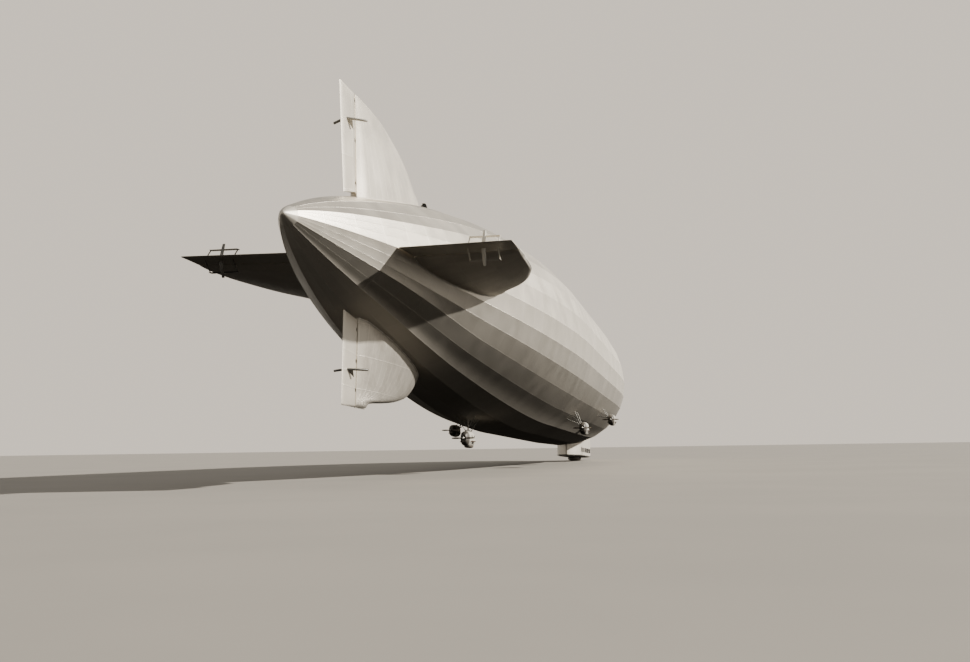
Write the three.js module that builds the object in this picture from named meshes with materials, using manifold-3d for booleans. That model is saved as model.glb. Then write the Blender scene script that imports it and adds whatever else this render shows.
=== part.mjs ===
// Rigid airship with four fins, five hanging engine cars and one gondola, as a model at one tenth of full size.
// Millimetres. +X runs to the nose, +Y to port and +Z up. The origin is on the hull's long axis, at the
// centre of buoyancy. Stations are counted forward from the stern tip.
import * as THREE from 'three';
import { mergeVertices } from 'three/addons/utils/BufferGeometryUtils.js';
import Module from 'manifold-3d';

const wasm = await Module();
wasm.setup();

// Hull: a long stern run, a parallel middle and a blunt bow
const HULL_LENGTH = 23660;
const HULL_RADIUS = 1525;
const BUOYANCY_STATION = 12900;
const STERN_RUN = 10620;
const STERN_SWELL = 1.833;
const STERN_POWER = 0.776;
const BOW_RUN = 7480;
const BOW_SWELL = 2.266;
const BOW_POWER = 0.5;
const COVER = 10;
const SEAT_GAP = 0.3;
const TAIL_CAP_END = 150;
const NOSE_CAP_START = 23350;
const SPINDLE = { radius: 32, root: 23560, tip: 23720 };
const COVER_STATIONS = [
  TAIL_CAP_END, 500, 900, 1500, 2250, 3000, 4500, 6000, 7500, 9000, 10500, 15000, 16500, 18000, 19500,
  20700, 21600, 22350, 22900, NOSE_CAP_START
];
const NOSE_STATIONS = [NOSE_CAP_START, 23500, 23600, 23650];
const TAIL_STATIONS = [12, 60, TAIL_CAP_END];

// Longitudinals of one quarter of the hull, in degrees from the horizontal plane. Towards the stern, some of
// them sink onto the chord between two that stay proud: from and to are those two, share is the place on it.
const LONGITUDINALS = [
  { angle: 0, sternAngle: 0 },
  { angle: 12.5, from: 0, to: 31, share: 0.36 },
  { angle: 24, from: 0, to: 31, share: 0.72 },
  { angle: 36, sternAngle: 31 },
  { angle: 48, from: 31, to: 60, share: 0.5 },
  { angle: 62, sternAngle: 60 },
  { angle: 76, from: 60, to: 90, share: 0.5 }
];
const STERN_FORM = { full: 1500, gone: 4500 };

// Fins: span is counted out from the hull axis, and nose is the station of the leading edge at that span.
// A fin is a shell, thick where it meets the hull, open towards the hull and tapered to a solid tip. Its rear
// corners are chamfered over a share of the chord, so its rear face is as thick as the surface that follows.
const HINGE_GAP = 6;
const FIN_ROOT_SPANS = [520, 700, 880];
const FIN_HALF = { root: 165, tip: 30, rearRoot: 72, rearTip: 20, edge: 6 };
const FIN_CHAMFER = { share: 0.016, most: 40 };
const FIN_CREST = 0.45;
const FIN_POWER = 2.4;
const FIN_PARTS = [0.12, 0.27, FIN_CREST, 0.62, 0.78, 0.9, 0.97, 1];
const HOLLOW_PARTS = [0, 0.12, 0.27, FIN_CREST, 0.62, 0.78, 0.85];
const LONG_FIN = {
  tip: 1720,
  edge: [
    { span: 1060, nose: 4510 }, { span: 1190, nose: 4320 }, { span: 1380, nose: 4055 },
    { span: 1520, nose: 3740 }, { span: 1620, nose: 3350 }, { span: 1680, nose: 3020 },
    { span: 1708, nose: 2480 }
  ]
};
const SHORT_FIN = {
  tip: 1550,
  edge: [
    { span: 970, nose: 4510 }, { span: 1180, nose: 4290 }, { span: 1310, nose: 4020 },
    { span: 1370, nose: 3735 }, { span: 1410, nose: 3430 }, { span: 1445, nose: 3010 },
    { span: 1480, nose: 2550 }
  ]
};
const FIN_TIP = { round: 6, half: 12, share: 0.2, endShare: 0.3 };

// Rudders and elevators: hinge is the station of the hinge line, and base the spans of the inner edge
const RUDDER_BASE = { hinge: 660, trailing: 600 };
const ELEVATOR_BASE = { hinge: 645, trailing: 570 };
const FINS = [
  {
    side: 'upper', surface: 'rudder', turn: 90, form: LONG_FIN, hinge: 1950, base: RUDDER_BASE,
    trailing: { root: 1655, tip: 1510 }, hinges: [760, 1210, 1640], hornSpan: 1380
  },
  {
    side: 'port', surface: 'elevator', turn: 0, form: LONG_FIN, hinge: 2000, base: ELEVATOR_BASE,
    trailing: { root: 1680, tip: 1600 }, hinges: [760, 1210, 1640], hornSpan: 1390
  },
  {
    side: 'lower', surface: 'rudder', turn: -90, form: SHORT_FIN, hinge: 2020, base: RUDDER_BASE,
    trailing: { root: 1687, tip: 1633 }, hinges: [760, 1080, 1375], hornSpan: 1185
  },
  {
    side: 'starboard', surface: 'elevator', turn: 180, form: LONG_FIN, hinge: 2000, base: ELEVATOR_BASE,
    trailing: { root: 1680, tip: 1600 }, hinges: [760, 1210, 1640], hornSpan: 1390
  }
];
const HINGE_HALF = { rootSpan: 640, root: 34, tipSpan: 1720, tip: 15 };
const TRAILING_HALF = 4;
const SURFACE_TIP = { round: 20, half: 5, shift: 12 };
const LUG = { half: 18, side: 1, radius: 11, rear: 16, shank: 9, depth: 40, room: 200 };
const PIN = { radius: 6, bore: 7, reach: 24, short: 2, sides: 8 };

// Horns on both faces of a rudder or elevator, swept forward from foot to head. A rudder has an arm with a
// gusset on its lower side, and an elevator a mast that carries a balance plane. Feet, heads, apex and middle
// are counted forward from the hinge line, and a post holds each end of the plane.
const HORN = { inside: 8, reach: 180 };
const ARM = { foot: -230, head: -80, chord: 50, thick: 26, thin: 10 };
const GUSSET = { out: 55, thick: 4, apex: -20, apexOut: 16, drop: 80 };
const MAST = { foot: -155, head: -80, wide: 44, deep: 16, taper: 0.7 };
const PLANE = { middle: -62, level: 120, chord: 90, span: 317, thick: 5, post: 6, foot: -190 };

// Engine cars: place of the rear end of each nacelle on its own axis
const CARS = [
  { name: 'rear', station: 7200, y: 0, z: -1690 },
  { name: 'port_middle', station: 11690, y: 1220, z: -1375 },
  { name: 'starboard_middle', station: 11690, y: -1220, z: -1375 },
  { name: 'port_forward', station: 14900, y: 1450, z: -1070 },
  { name: 'starboard_forward', station: 14900, y: -1450, z: -1070 }
];
const NACELLE = { length: 600, half: 74, tall: 112, wall: 6, sides: 12, beyond: 300 };
const NACELLE_FORM = [
  { along: 0, full: 0.5 }, { along: 0.06, full: 0.72 }, { along: 0.2, full: 0.93 }, { along: 0.4, full: 1 },
  { along: 0.65, full: 1 }, { along: 0.82, full: 0.9 }, { along: 0.94, full: 0.68 }, { along: 1, full: 0.46 }
];
const NACELLE_END = 14;
const HATCH = { along: 330, length: 70, width: 52 };
const ENGINE = { rear: 190, length: 230, width: 76, low: -58, high: 62 };
const BEARER = { inset: 30, length: 26, sink: 1, tall: 20 };
const SHAFT = { radius: 9, bore: 9.9, inside: 120, sides: 10 };
const PROPELLER = { radius: 170, hub: 21, hubLength: 34, gap: 12, spinner: 26, spinnerTip: 6 };
const BLADE = [
  { share: 0.06, half: 9.9, thick: 9, pitch: 62 }, { share: 0.3, half: 12.6, thick: 5.5, pitch: 44 },
  { share: 0.62, half: 13.5, thick: 3.6, pitch: 27 }, { share: 0.88, half: 10.5, thick: 2.2, pitch: 20 },
  { share: 1, half: 4.5, thick: 1.2, pitch: 18 }
];
const BLADE_OUTLINE = [[1, 0], [0.5, 0.85], [-0.2, 1], [-1, 0.15], [-0.6, -0.5], [0.4, -0.6]];
const STRUT = {
  radius: 4.5, sides: 5, foot: 5, spread: 176, rake: 40, inset: 12, sink: 4, root: 0.86,
  beam: 330, beamWide: 22, beamDeep: 16
};
const LADDER = { width: 44, rail: 3, rung: 2.2, pitch: 28, sides: 4 };

// Gondola: plan outline with a tapered stern and a round bow
const GONDOLA = { stern: 18850, bow: 21900, half: 298, sternRun: 620, bowRun: 400, wall: 8 };
const FLOOR = { top: -1690, thick: 38, tuck: 26 };
const WALL_TOP = -900;
const PLAN_STEPS = { stern: [0.02, 0.12, 0.3, 0.55, 0.8, 1], bow: [0, 0.3, 0.55, 0.75, 0.9, 0.975], swell: 0.8 };
const TUCK = { low: 4, along: 5 };
const CUT = { low: -3000, high: 0, inner: 200, outer: 400, end: 100 };
const CEILING = { under: -1455, thick: 6 };
const BOW_SPLIT = 21480;
const STERN_SPLIT = 19380;
const WINDOW_BAND = { low: -1620, high: -1515 };
const SIDE_WINDOWS = [
  { from: 19470, width: 74 }, { from: 19640, width: 74 }, { from: 19790, width: 74 }, { from: 19940, width: 74 },
  { from: 20090, width: 74 }, { from: 20280, width: 150 }, { from: 20460, width: 150 },
  { from: 20670, width: 150 }, { from: 20850, width: 150 }, { from: 21070, width: 120 }, { from: 21220, width: 120 },
  { from: 21355, width: 112 }
];
const BOW_WINDOWS = { count: 7, reach: 72, low: -1635, high: -1490, post: 12, inner: 150, outer: 600 };
const DOOR = { from: 19572, width: 52, low: -1684, high: -1490, gap: 3, frame: 12, sill: 10 };
const DOOR_HINGE = {
  out: 7, pin: 1.5, bore: 2, knuckle: 3.6, tall: 12, levels: [-1650, -1525], sides: 12,
  pinReach: 0.95, earPlace: 0.75, earHalf: 0.2, sink: 2, lap: 0.5
};
const BULKHEADS = [
  { name: 'gondola_control_bulkhead', station: 21330 },
  { name: 'gondola_lounge_bulkhead', station: 20255 }
];
const PASSAGE = { half: 34, high: -1500, reach: 50 };
const BULKHEAD_THICK = 6;
const STANDS = [
  { name: 'rudder_stand', station: 21740, y: 0, wheelAxis: 'x' },
  { name: 'elevator_stand', station: 21600, y: 120, wheelAxis: 'y' }
];
const STAND = {
  height: 95, radius: 16, taper: 0.6, wheel: 38, rim: 3.5, wheelDrop: 14, wheelGap: 8, axle: 4, sides: 8
};
const GONDOLA_BUMPER = { station: 20500, length: 900, half: 150, bottom: -1825 };
const REAR_BUMPER = { length: 260, half: 60, bottom: -1825, along: 0.6, seat: 0.6 };
const BAG = { sides: 12, shares: [-1, -0.82, -0.5, 0.5, 0.82, 1], reach: 0.94, middle: 0.35, endDrop: 0.55 };
const HOOD = { station: 4945, length: 90, half: 42, tall: 112, foot: 1000, crown: 0.5, shoulder: 0.6, front: 0.7 };

const COLOURS = {
  cover: new THREE.MeshStandardMaterial({ color: 0xd8d2c0, roughness: 0.55, metalness: 0.25 }),
  cap: new THREE.MeshStandardMaterial({ color: 0xb9b4a6, roughness: 0.4, metalness: 0.6 }),
  steel: new THREE.MeshStandardMaterial({ color: 0x77756e, roughness: 0.45, metalness: 0.8 }),
  nacelle: new THREE.MeshStandardMaterial({ color: 0xbdb8aa, roughness: 0.4, metalness: 0.6 }),
  wood: new THREE.MeshStandardMaterial({ color: 0x6b4a2c, roughness: 0.5, metalness: 0 }),
  engine: new THREE.MeshStandardMaterial({ color: 0x3b3b3a, roughness: 0.6, metalness: 0.5 }),
  rubber: new THREE.MeshStandardMaterial({ color: 0x4a463f, roughness: 0.8, metalness: 0 }),
  cabin: new THREE.MeshStandardMaterial({ color: 0xa8926c, roughness: 0.6, metalness: 0 })
};

const airship = new THREE.Group();
const radians = THREE.MathUtils.degToRad;
const lerp = THREE.MathUtils.lerp;

/** Turns a closed geometry into a solid. */
function solid(geometry) {
  const bare = new THREE.BufferGeometry();
  bare.setAttribute('position', geometry.getAttribute('position'));
  if (geometry.index) bare.setIndex(geometry.index);
  const merged = mergeVertices(bare, 1e-3);
  return new wasm.Manifold(new wasm.Mesh({
    numProp: 3,
    vertProperties: new Float32Array(merged.getAttribute('position').array),
    triVerts: new Uint32Array(merged.index.array)
  }));
}

/** Adds a solid to the airship as one named mesh. */
function addNode(name, shape, material) {
  const { vertProperties, triVerts } = shape.getMesh();
  const geometry = new THREE.BufferGeometry();
  geometry.setAttribute('position', new THREE.BufferAttribute(new Float32Array(vertProperties), 3));
  geometry.setIndex(new THREE.BufferAttribute(new Uint32Array(triVerts), 1));
  geometry.computeVertexNormals();
  const mesh = new THREE.Mesh(geometry, material);
  mesh.name = name;
  airship.add(mesh);
}

/** Joins a list of solids. */
function join(solids) {
  return solids.reduce((whole, piece) => whole.add(piece));
}

/** Lofts a closed solid through rings of points, with flat ends. All rings have the same count. */
function loft(rings) {
  const count = rings[0].length;
  const positions = rings.flat().flatMap((point) => [point.x, point.y, point.z]);
  const index = [];
  for (let ring = 0; ring + 1 < rings.length; ring += 1) {
    for (let side = 0; side < count; side += 1) {
      const next = (side + 1) % count;
      const here = ring * count;
      const there = here + count;
      index.push(here + side, here + next, there + next, here + side, there + next, there + side);
    }
  }
  const last = (rings.length - 1) * count;
  for (let side = 1; side + 1 < count; side += 1) {
    index.push(0, side + 1, side);
    index.push(last, last + side, last + side + 1);
  }
  if (signedVolume(positions, index) < 0) index.reverse();
  const geometry = new THREE.BufferGeometry();
  geometry.setAttribute('position', new THREE.Float32BufferAttribute(positions, 3));
  geometry.setIndex(index);
  return solid(geometry);
}

/** Six times the volume that the triangles enclose, negative when they face inwards. */
function signedVolume(positions, index) {
  const corner = (at) => new THREE.Vector3().fromArray(positions, 3 * at);
  let volume = 0;
  for (let at = 0; at < index.length; at += 3) {
    volume += corner(index[at]).dot(corner(index[at + 1]).cross(corner(index[at + 2])));
  }
  return volume;
}

/** Box from its lowest to its highest corner. */
function box(low, high) {
  const geometry = new THREE.BoxGeometry(high[0] - low[0], high[1] - low[1], high[2] - low[2]);
  geometry.translate((low[0] + high[0]) / 2, (low[1] + high[1]) / 2, (low[2] + high[2]) / 2);
  return solid(geometry);
}

/** Round bar from one point to another. */
function bar(from, to, radius, sides, endRadius = radius) {
  const along = new THREE.Vector3().subVectors(to, from);
  const geometry = new THREE.CylinderGeometry(endRadius, radius, along.length(), sides);
  const turn = new THREE.Quaternion().setFromUnitVectors(new THREE.Vector3(0, 1, 0), along.clone().normalize());
  geometry.applyQuaternion(turn);
  geometry.translate((from.x + to.x) / 2, (from.y + to.y) / 2, (from.z + to.z) / 2);
  return solid(geometry);
}

/** Place on +X of a station. */
function along(station) {
  return station - BUOYANCY_STATION;
}

/** Radius of the hull's corners at a station. */
function hullRadius(station) {
  const stern = 1 - Math.min(station / STERN_RUN, 1);
  const bow = 1 - Math.min((HULL_LENGTH - station) / BOW_RUN, 1);
  return HULL_RADIUS * (1 - stern ** STERN_SWELL) ** STERN_POWER * (1 - bow ** BOW_SWELL) ** BOW_POWER;
}

/** Radial thickness of a wall that is square to the hull's slope. */
function radialWall(station, wall) {
  const step = 5;
  const slope = (hullRadius(station + step) - hullRadius(station - step)) / (2 * step);
  return wall * Math.hypot(1, slope);
}

/** Directions of the hull's corners at a station, as unit-circle points that sink inwards at the stern. */
function hullCorners(station) {
  const sternShare = 1 - THREE.MathUtils.smoothstep(station, STERN_FORM.full, STERN_FORM.gone);
  const onCircle = (angle) => new THREE.Vector2(Math.cos(radians(angle)), Math.sin(radians(angle)));
  const quarter = LONGITUDINALS.map(({ angle, sternAngle, from, to, share }) => {
    const stern = sternAngle === undefined ? onCircle(from).lerp(onCircle(to), share) : onCircle(sternAngle);
    return onCircle(angle).lerp(stern, sternShare);
  });
  const top = new THREE.Vector2(0, 1);
  const half = [...quarter, top, ...quarter.slice(1).reverse().map(({ x, y }) => new THREE.Vector2(-x, y))];
  return [...half, ...half.map(({ x, y }) => new THREE.Vector2(-x, -y))];
}

/** Ring of hull corners at a station, grown by an offset. */
function hullRing(station, offset) {
  const radius = hullRadius(station) + radialWall(station, offset);
  return hullCorners(station).map(({ x, y }) => new THREE.Vector3(along(station), x * radius, y * radius));
}

/** Solid of the whole hull, grown by an offset, used to seat what stands on it. */
function hullForm(offset) {
  return loft([...COVER_STATIONS, ...NOSE_STATIONS.slice(1)].map((station) => hullRing(station, offset)));
}

const hullSeat = hullForm(SEAT_GAP);

/** Cover: a thin tube of flat panels, closed by the caps at both ends. */
function makeEnvelope() {
  const outside = COVER_STATIONS.map((station) => hullRing(station, 0));
  const inside = COVER_STATIONS.map((station) => hullRing(station, -COVER));
  inside.unshift(inside[0].map((point) => point.clone().setX(point.x - COVER)));
  inside.push(inside[inside.length - 1].map((point) => point.clone().setX(point.x + COVER)));
  addNode('hull_envelope', loft(outside).subtract(loft(inside)), COLOURS.cover);
}

/** Nose cap: a domed shell that carries the mooring spindle. */
function makeNoseCap() {
  const outside = NOSE_STATIONS.map((station) => hullRing(station, 0));
  const inside = NOSE_STATIONS.slice(0, -1).map((station) => hullRing(station, -COVER));
  outside[0].forEach((point) => { point.x += SEAT_GAP; });
  inside.unshift(inside[0].map((point) => point.clone().setX(point.x - COVER)));
  const spindle = bar(
    new THREE.Vector3(along(SPINDLE.root), 0, 0), new THREE.Vector3(along(SPINDLE.tip), 0, 0), SPINDLE.radius, 16
  );
  addNode('nose_cap', loft(outside).subtract(loft(inside)).add(spindle), COLOURS.cap);
}

/** Tail cap: a small solid cone. */
function makeTailCap() {
  const rings = TAIL_STATIONS.map((station) => hullRing(station, 0));
  rings[rings.length - 1].forEach((point) => { point.x -= SEAT_GAP; });
  addNode('tail_cap', loft(rings), COLOURS.cap);
}

/** Ventilator hood on the top ridge. */
function makeHood() {
  const ridge = hullRadius(HOOD.station);
  const ring = (station, half, tall) => {
    const shoulder = ridge + tall * HOOD.shoulder;
    return [
      [-half, HOOD.foot], [half, HOOD.foot], [half, shoulder], [half * HOOD.crown, ridge + tall],
      [-half * HOOD.crown, ridge + tall], [-half, shoulder]
    ].map(([y, z]) => new THREE.Vector3(along(station), y, z));
  };
  const hood = loft([
    ring(HOOD.station - HOOD.length / 2, HOOD.half, HOOD.tall), ring(HOOD.station, HOOD.half, HOOD.tall),
    ring(HOOD.station + HOOD.length / 2, HOOD.half * HOOD.front, HOOD.tall * (1 - HOOD.shoulder))
  ]);
  addNode('ventilator_hood', hood.subtract(hullSeat), COLOURS.steel);
}

/** Half thickness of a rudder or elevator at its hinge line, tapering evenly from root to tip. */
function hingeHalf(span) {
  const { rootSpan, root, tipSpan, tip } = HINGE_HALF;
  return THREE.MathUtils.mapLinear(span, rootSpan, tipSpan, root, tip);
}

/** Turns fin coordinates (station, span, thickness) into a place on the airship. */
function finPoint(station, span, thick, turn) {
  const cos = Math.cos(radians(turn));
  const sin = Math.sin(radians(turn));
  return new THREE.Vector3(along(station), span * cos - thick * sin, span * sin + thick * cos);
}

/** Box in fin coordinates. */
function finBox(low, high, turn) {
  const ring = (span) => [
    finPoint(low[0], span, low[2], turn), finPoint(high[0], span, low[2], turn),
    finPoint(high[0], span, high[2], turn), finPoint(low[0], span, high[2], turn)
  ];
  return loft([ring(low[1]), ring(high[1])]);
}

/** Station of the flat rear face of a fin. */
function finRear(fin, span) {
  return fin.hinge + hingeHalf(span) + HINGE_GAP;
}

/** Half thickness of a fin at a share of its chord, tapering from the hull's surface to the tip. */
function finHalf(fin, span, nose, part) {
  const station = lerp(finRear(fin, span), nose, part);
  const surface = hullRadius(station);
  const outward = THREE.MathUtils.clamp((span - surface) / (fin.form.tip - surface), 0, 1);
  const thick = lerp(FIN_HALF.root, FIN_HALF.tip, outward);
  if (part < FIN_CREST) {
    const rear = lerp(FIN_HALF.rearRoot, FIN_HALF.rearTip, outward);
    return lerp(rear, thick, Math.sin((Math.PI / 2) * (part / FIN_CREST)));
  }
  return thick * Math.sqrt(1 - ((part - FIN_CREST) / (1 - FIN_CREST)) ** FIN_POWER);
}

/** Section of a fin at one span: chamfered to its surface's thickness at the rear, with a blunt leading edge. */
function finSection(fin, span, nose, thickest = Infinity) {
  const rear = finRear(fin, span);
  const side = (sign) => [0, FIN_CHAMFER.share, ...FIN_PARTS].map((part) => {
    const full = part ? finHalf(fin, span, nose, part) : hingeHalf(span);
    const half = THREE.MathUtils.clamp(full, FIN_HALF.edge, thickest);
    return finPoint(lerp(rear, nose, part), span, sign * half, fin.turn);
  });
  return [...side(1), ...side(-1).reverse()];
}

/** Section of the room inside a fin, one wall inside its chamfer and both sides. */
function hollowSection(fin, span, nose) {
  const side = (sign) => HOLLOW_PARTS.map((part) => {
    const station = Math.max(lerp(finRear(fin, span), nose, part), finRear(fin, span) + FIN_CHAMFER.most + COVER);
    return finPoint(station, span, sign * (finHalf(fin, span, nose, part) - COVER), fin.turn);
  });
  return [...side(1), ...side(-1).reverse()];
}

/** Fin with its hinge lugs and pins. */
function makeFin(fin) {
  const { side, turn, form, hinge, hinges } = fin;
  const places = [...FIN_ROOT_SPANS.map((span) => ({ span, nose: form.edge[0].nose })), ...form.edge];
  const sections = places.map(({ span, nose }) => finSection(fin, span, nose));
  const last = form.edge[form.edge.length - 1];
  const tipNose = (share) => lerp(last.nose, finRear(fin, form.tip), share);
  sections.push(finSection(fin, form.tip - FIN_TIP.round, tipNose(FIN_TIP.share), FIN_TIP.half));
  sections.push(finSection(fin, form.tip, tipNose(FIN_TIP.endShare), FIN_HALF.edge));
  const hollow = loft(places.slice(0, -1).map(({ span, nose }) => hollowSection(fin, span, nose)));
  const lugs = hinges.flatMap((span) => [
    finBox([hinge, span - LUG.half, -LUG.shank], [finRear(fin, span) + LUG.depth, span + LUG.half, LUG.shank], turn),
    hingeBar(fin, span, LUG.half, LUG.radius),
    hingeBar(fin, span, LUG.half + LUG.side + PIN.reach - PIN.short, PIN.radius)
  ]);
  const shell = loft(sections).subtract(hollow).subtract(hullSeat);
  addNode(`${side}_fin`, join([shell, ...lugs]), COLOURS.cover);
}

/** Round bar on a fin's hinge line, centred on a span. */
function hingeBar({ hinge, turn }, span, half, radius) {
  return bar(finPoint(hinge, span - half, 0, turn), finPoint(hinge, span + half, 0, turn), radius, PIN.sides);
}

/** Section of a rudder or elevator: round about its hinge line, thin at the trailing edge. */
function surfaceSection({ hinge, turn }, { span, half, trailing, slope }) {
  const steps = 4;
  const spanAt = (station) => span + slope * (station - hinge);
  const front = [];
  for (let step = 0; step <= steps; step += 1) {
    const angle = radians(90 - (180 * step) / steps);
    const station = hinge + half * Math.cos(angle);
    front.push(finPoint(station, spanAt(station), half * Math.sin(angle), turn));
  }
  const edge = Math.min(TRAILING_HALF, half);
  const back = [-edge, edge].map((thick) => finPoint(trailing, spanAt(trailing), thick, turn));
  return [...front, ...back];
}

/** Bar that stands out from one face of a surface, from its foot to its head, with a flat section. */
function hornBar(fin, face, { foot, head, from, to, footSize, headSize, span }) {
  const ring = (behind, out, [chord, across]) => [[-1, -1], [1, -1], [1, 1], [-1, 1]].map(
    ([a, b]) => finPoint(fin.hinge + behind + (a * chord) / 2, span + (b * across) / 2, face * out, fin.turn)
  );
  return loft([ring(foot, from, footSize), ring(head, to, headSize)]);
}

/** Arm of a rudder on one face, with a gusset plate from its foot to the hinge line below. */
function armParts(fin, face) {
  const span = fin.hornSpan;
  const down = fin.turn > 0 ? -1 : 1;
  const arm = hornBar(fin, face, {
    foot: ARM.foot, head: ARM.head, from: HORN.inside, to: HORN.reach,
    footSize: [ARM.chord, ARM.thick], headSize: [ARM.chord, ARM.thin], span
  });
  const outer = lerp(ARM.foot, ARM.head, GUSSET.out / HORN.reach);
  const plate = (ends, drop) => [0, GUSSET.thick].flatMap((thick) => {
    const line = ends.map(([behind, out]) => finPoint(
      fin.hinge + behind, span + down * (drop + thick), face * out, fin.turn
    ));
    return thick ? line.reverse() : line;
  });
  const gusset = loft([
    plate([[ARM.foot, HORN.inside], [outer, GUSSET.out]], 0),
    plate([[GUSSET.apex, HORN.inside], [GUSSET.apex, GUSSET.apexOut]], GUSSET.drop)
  ]);
  return [arm, gusset];
}

/** Mast of an elevator on one face, with its balance plane and the two posts at the plane's ends. */
function mastParts(fin, face) {
  const span = fin.hornSpan;
  const size = [MAST.deep, MAST.wide];
  const mast = hornBar(fin, face, {
    foot: MAST.foot, head: MAST.head, from: HORN.inside, to: HORN.reach,
    footSize: size, headSize: size.map((side) => side * MAST.taper), span
  });
  const level = [PLANE.level - PLANE.thick / 2, PLANE.level + PLANE.thick / 2].map((out) => face * out);
  const middle = fin.hinge + PLANE.middle;
  const plane = finBox(
    [middle - PLANE.chord / 2, span - PLANE.span / 2, Math.min(...level)],
    [middle + PLANE.chord / 2, span + PLANE.span / 2, Math.max(...level)], fin.turn
  );
  const posts = [-1, 1].map((end) => hornBar(fin, face, {
    foot: PLANE.foot, head: PLANE.middle, from: HORN.inside, to: PLANE.level,
    footSize: [2 * PLANE.post, 2 * PLANE.post], headSize: [2 * PLANE.post, 2 * PLANE.post],
    span: span + end * (PLANE.span / 2 - PLANE.post)
  }));
  return [mast, plane, ...posts];
}

/** Rudder or elevator, notched and bored for the fin's lugs and pins, with its horns. */
function makeSurface(fin) {
  const { side, surface, turn, form, hinge, base, trailing, hinges } = fin;
  const slope = (base.hinge - base.trailing) / (hinge - trailing.root);
  const tipRound = form.tip - SURFACE_TIP.round;
  const sections = [
    { span: base.hinge, half: hingeHalf(base.hinge), trailing: trailing.root, slope },
    { span: tipRound, half: hingeHalf(tipRound), trailing: trailing.tip, slope: 0 },
    { span: form.tip, half: SURFACE_TIP.half, trailing: trailing.tip + SURFACE_TIP.shift, slope: 0 }
  ];
  const notches = hinges.flatMap((span) => [
    finBox(
      [hinge - LUG.rear, span - LUG.half - LUG.side, -LUG.room],
      [hinge + LUG.room, span + LUG.half + LUG.side, LUG.room], turn
    ),
    hingeBar(fin, span, LUG.half + LUG.side + PIN.reach, PIN.bore)
  ]);
  const body = loft(sections.map((section) => surfaceSection(fin, section))).subtract(join(notches));
  const hornParts = surface === 'rudder' ? armParts : mastParts;
  addNode(`${side}_${surface}`, join([body, ...hornParts(fin, 1), ...hornParts(fin, -1)]), COLOURS.cover);
}

/** Ring of a nacelle at a distance from its rear end, grown or shrunk by an offset. */
function nacelleRing(car, distance, full, offset) {
  const ring = [];
  for (let side = 0; side < NACELLE.sides; side += 1) {
    const angle = (2 * Math.PI * (side + 0.5)) / NACELLE.sides;
    const y = (NACELLE.half * full + offset) * Math.cos(angle);
    const z = (NACELLE.tall * full + offset) * Math.sin(angle);
    ring.push(new THREE.Vector3(along(car.station) + distance, car.y + y, car.z + z));
  }
  return ring;
}

/** Egg-shaped body of a nacelle, grown or shrunk all round by an offset. */
function nacelleForm(car, offset, endOffset) {
  return loft(NACELLE_FORM.map(({ along: share, full }) => {
    const distance = lerp(-endOffset, NACELLE.length + endOffset, share);
    return nacelleRing(car, distance, full, offset);
  }));
}

/** Box in a car's own coordinates: forward from its rear end, to port, and up from its axis. */
function carBox(car, low, high) {
  const place = (corner) => [along(car.station) + corner[0], car.y + corner[1], car.z + corner[2]];
  return box(place(low), place(high));
}

/** Round bar along a car's axis. */
function carBar(car, from, to, radius, sides, endRadius) {
  const start = new THREE.Vector3(along(car.station) + from, car.y, car.z);
  const end = new THREE.Vector3(along(car.station) + to, car.y, car.z);
  return bar(start, end, radius, sides, endRadius);
}

/** Nacelle shell with its shaft bearing and the hatch below the ladder. */
function makeNacelle(car) {
  const shell = nacelleForm(car, 0, 0).subtract(nacelleForm(car, -NACELLE.wall, -NACELLE_END));
  const bore = carBar(car, -NACELLE.beyond, NACELLE_END + NACELLE.wall, SHAFT.bore, SHAFT.sides);
  const hatch = carBox(
    car, [HATCH.along - HATCH.length / 2, -HATCH.width / 2, NACELLE.tall / 2],
    [HATCH.along + HATCH.length / 2, HATCH.width / 2, NACELLE.beyond]
  );
  addNode(`${car.name}_car_nacelle`, shell.subtract(bore).subtract(hatch), COLOURS.nacelle);
}

/** Engine: one block on two cross bearers that reach the nacelle's frames. */
function makeEngine(car) {
  const { rear, length, width, low, high } = ENGINE;
  const block = carBox(car, [rear, -width / 2, low], [rear + length, width / 2, high]);
  const cross = [rear + BEARER.inset, rear + length - BEARER.inset - BEARER.length].map((from) => carBox(
    car, [from, -NACELLE.half, low - BEARER.sink], [from + BEARER.length, NACELLE.half, low + BEARER.tall]
  ));
  const room = nacelleForm(car, -NACELLE.wall - SEAT_GAP, -NACELLE_END - SEAT_GAP);
  addNode(`${car.name}_car_engine`, join([block, ...cross]).intersect(room), COLOURS.engine);
}

/** Two-bladed pusher propeller with its hub, spinner and shaft. Its blades lie level at rest. */
function makePropeller(car) {
  const { hub, hubLength, gap, spinner, spinnerTip } = PROPELLER;
  const rear = -gap - hubLength;
  const plane = rear + hubLength / 2;
  const parts = [
    carBar(car, rear, -gap, hub, SHAFT.sides),
    carBar(car, rear - spinner, rear, spinnerTip, SHAFT.sides, hub),
    carBar(car, plane, SHAFT.inside, SHAFT.radius, SHAFT.sides)
  ];
  [1, -1].forEach((sign) => parts.push(loft(BLADE.map((section) => bladeSection(car, plane, sign, section)))));
  addNode(`${car.name}_car_propeller`, join(parts), COLOURS.wood);
}

/** Section of a propeller blade, twisted by its pitch. */
function bladeSection(car, plane, sign, { share, half, thick, pitch }) {
  const turn = radians(pitch);
  return BLADE_OUTLINE.map(([across, through]) => {
    const a = across * half;
    const t = through * thick;
    const x = a * Math.sin(turn) + t * Math.cos(turn);
    const z = a * Math.cos(turn) - t * Math.sin(turn);
    return new THREE.Vector3(
      along(car.station) + plane - x, car.y + sign * share * PROPELLER.radius, car.z + sign * z
    );
  });
}

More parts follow.
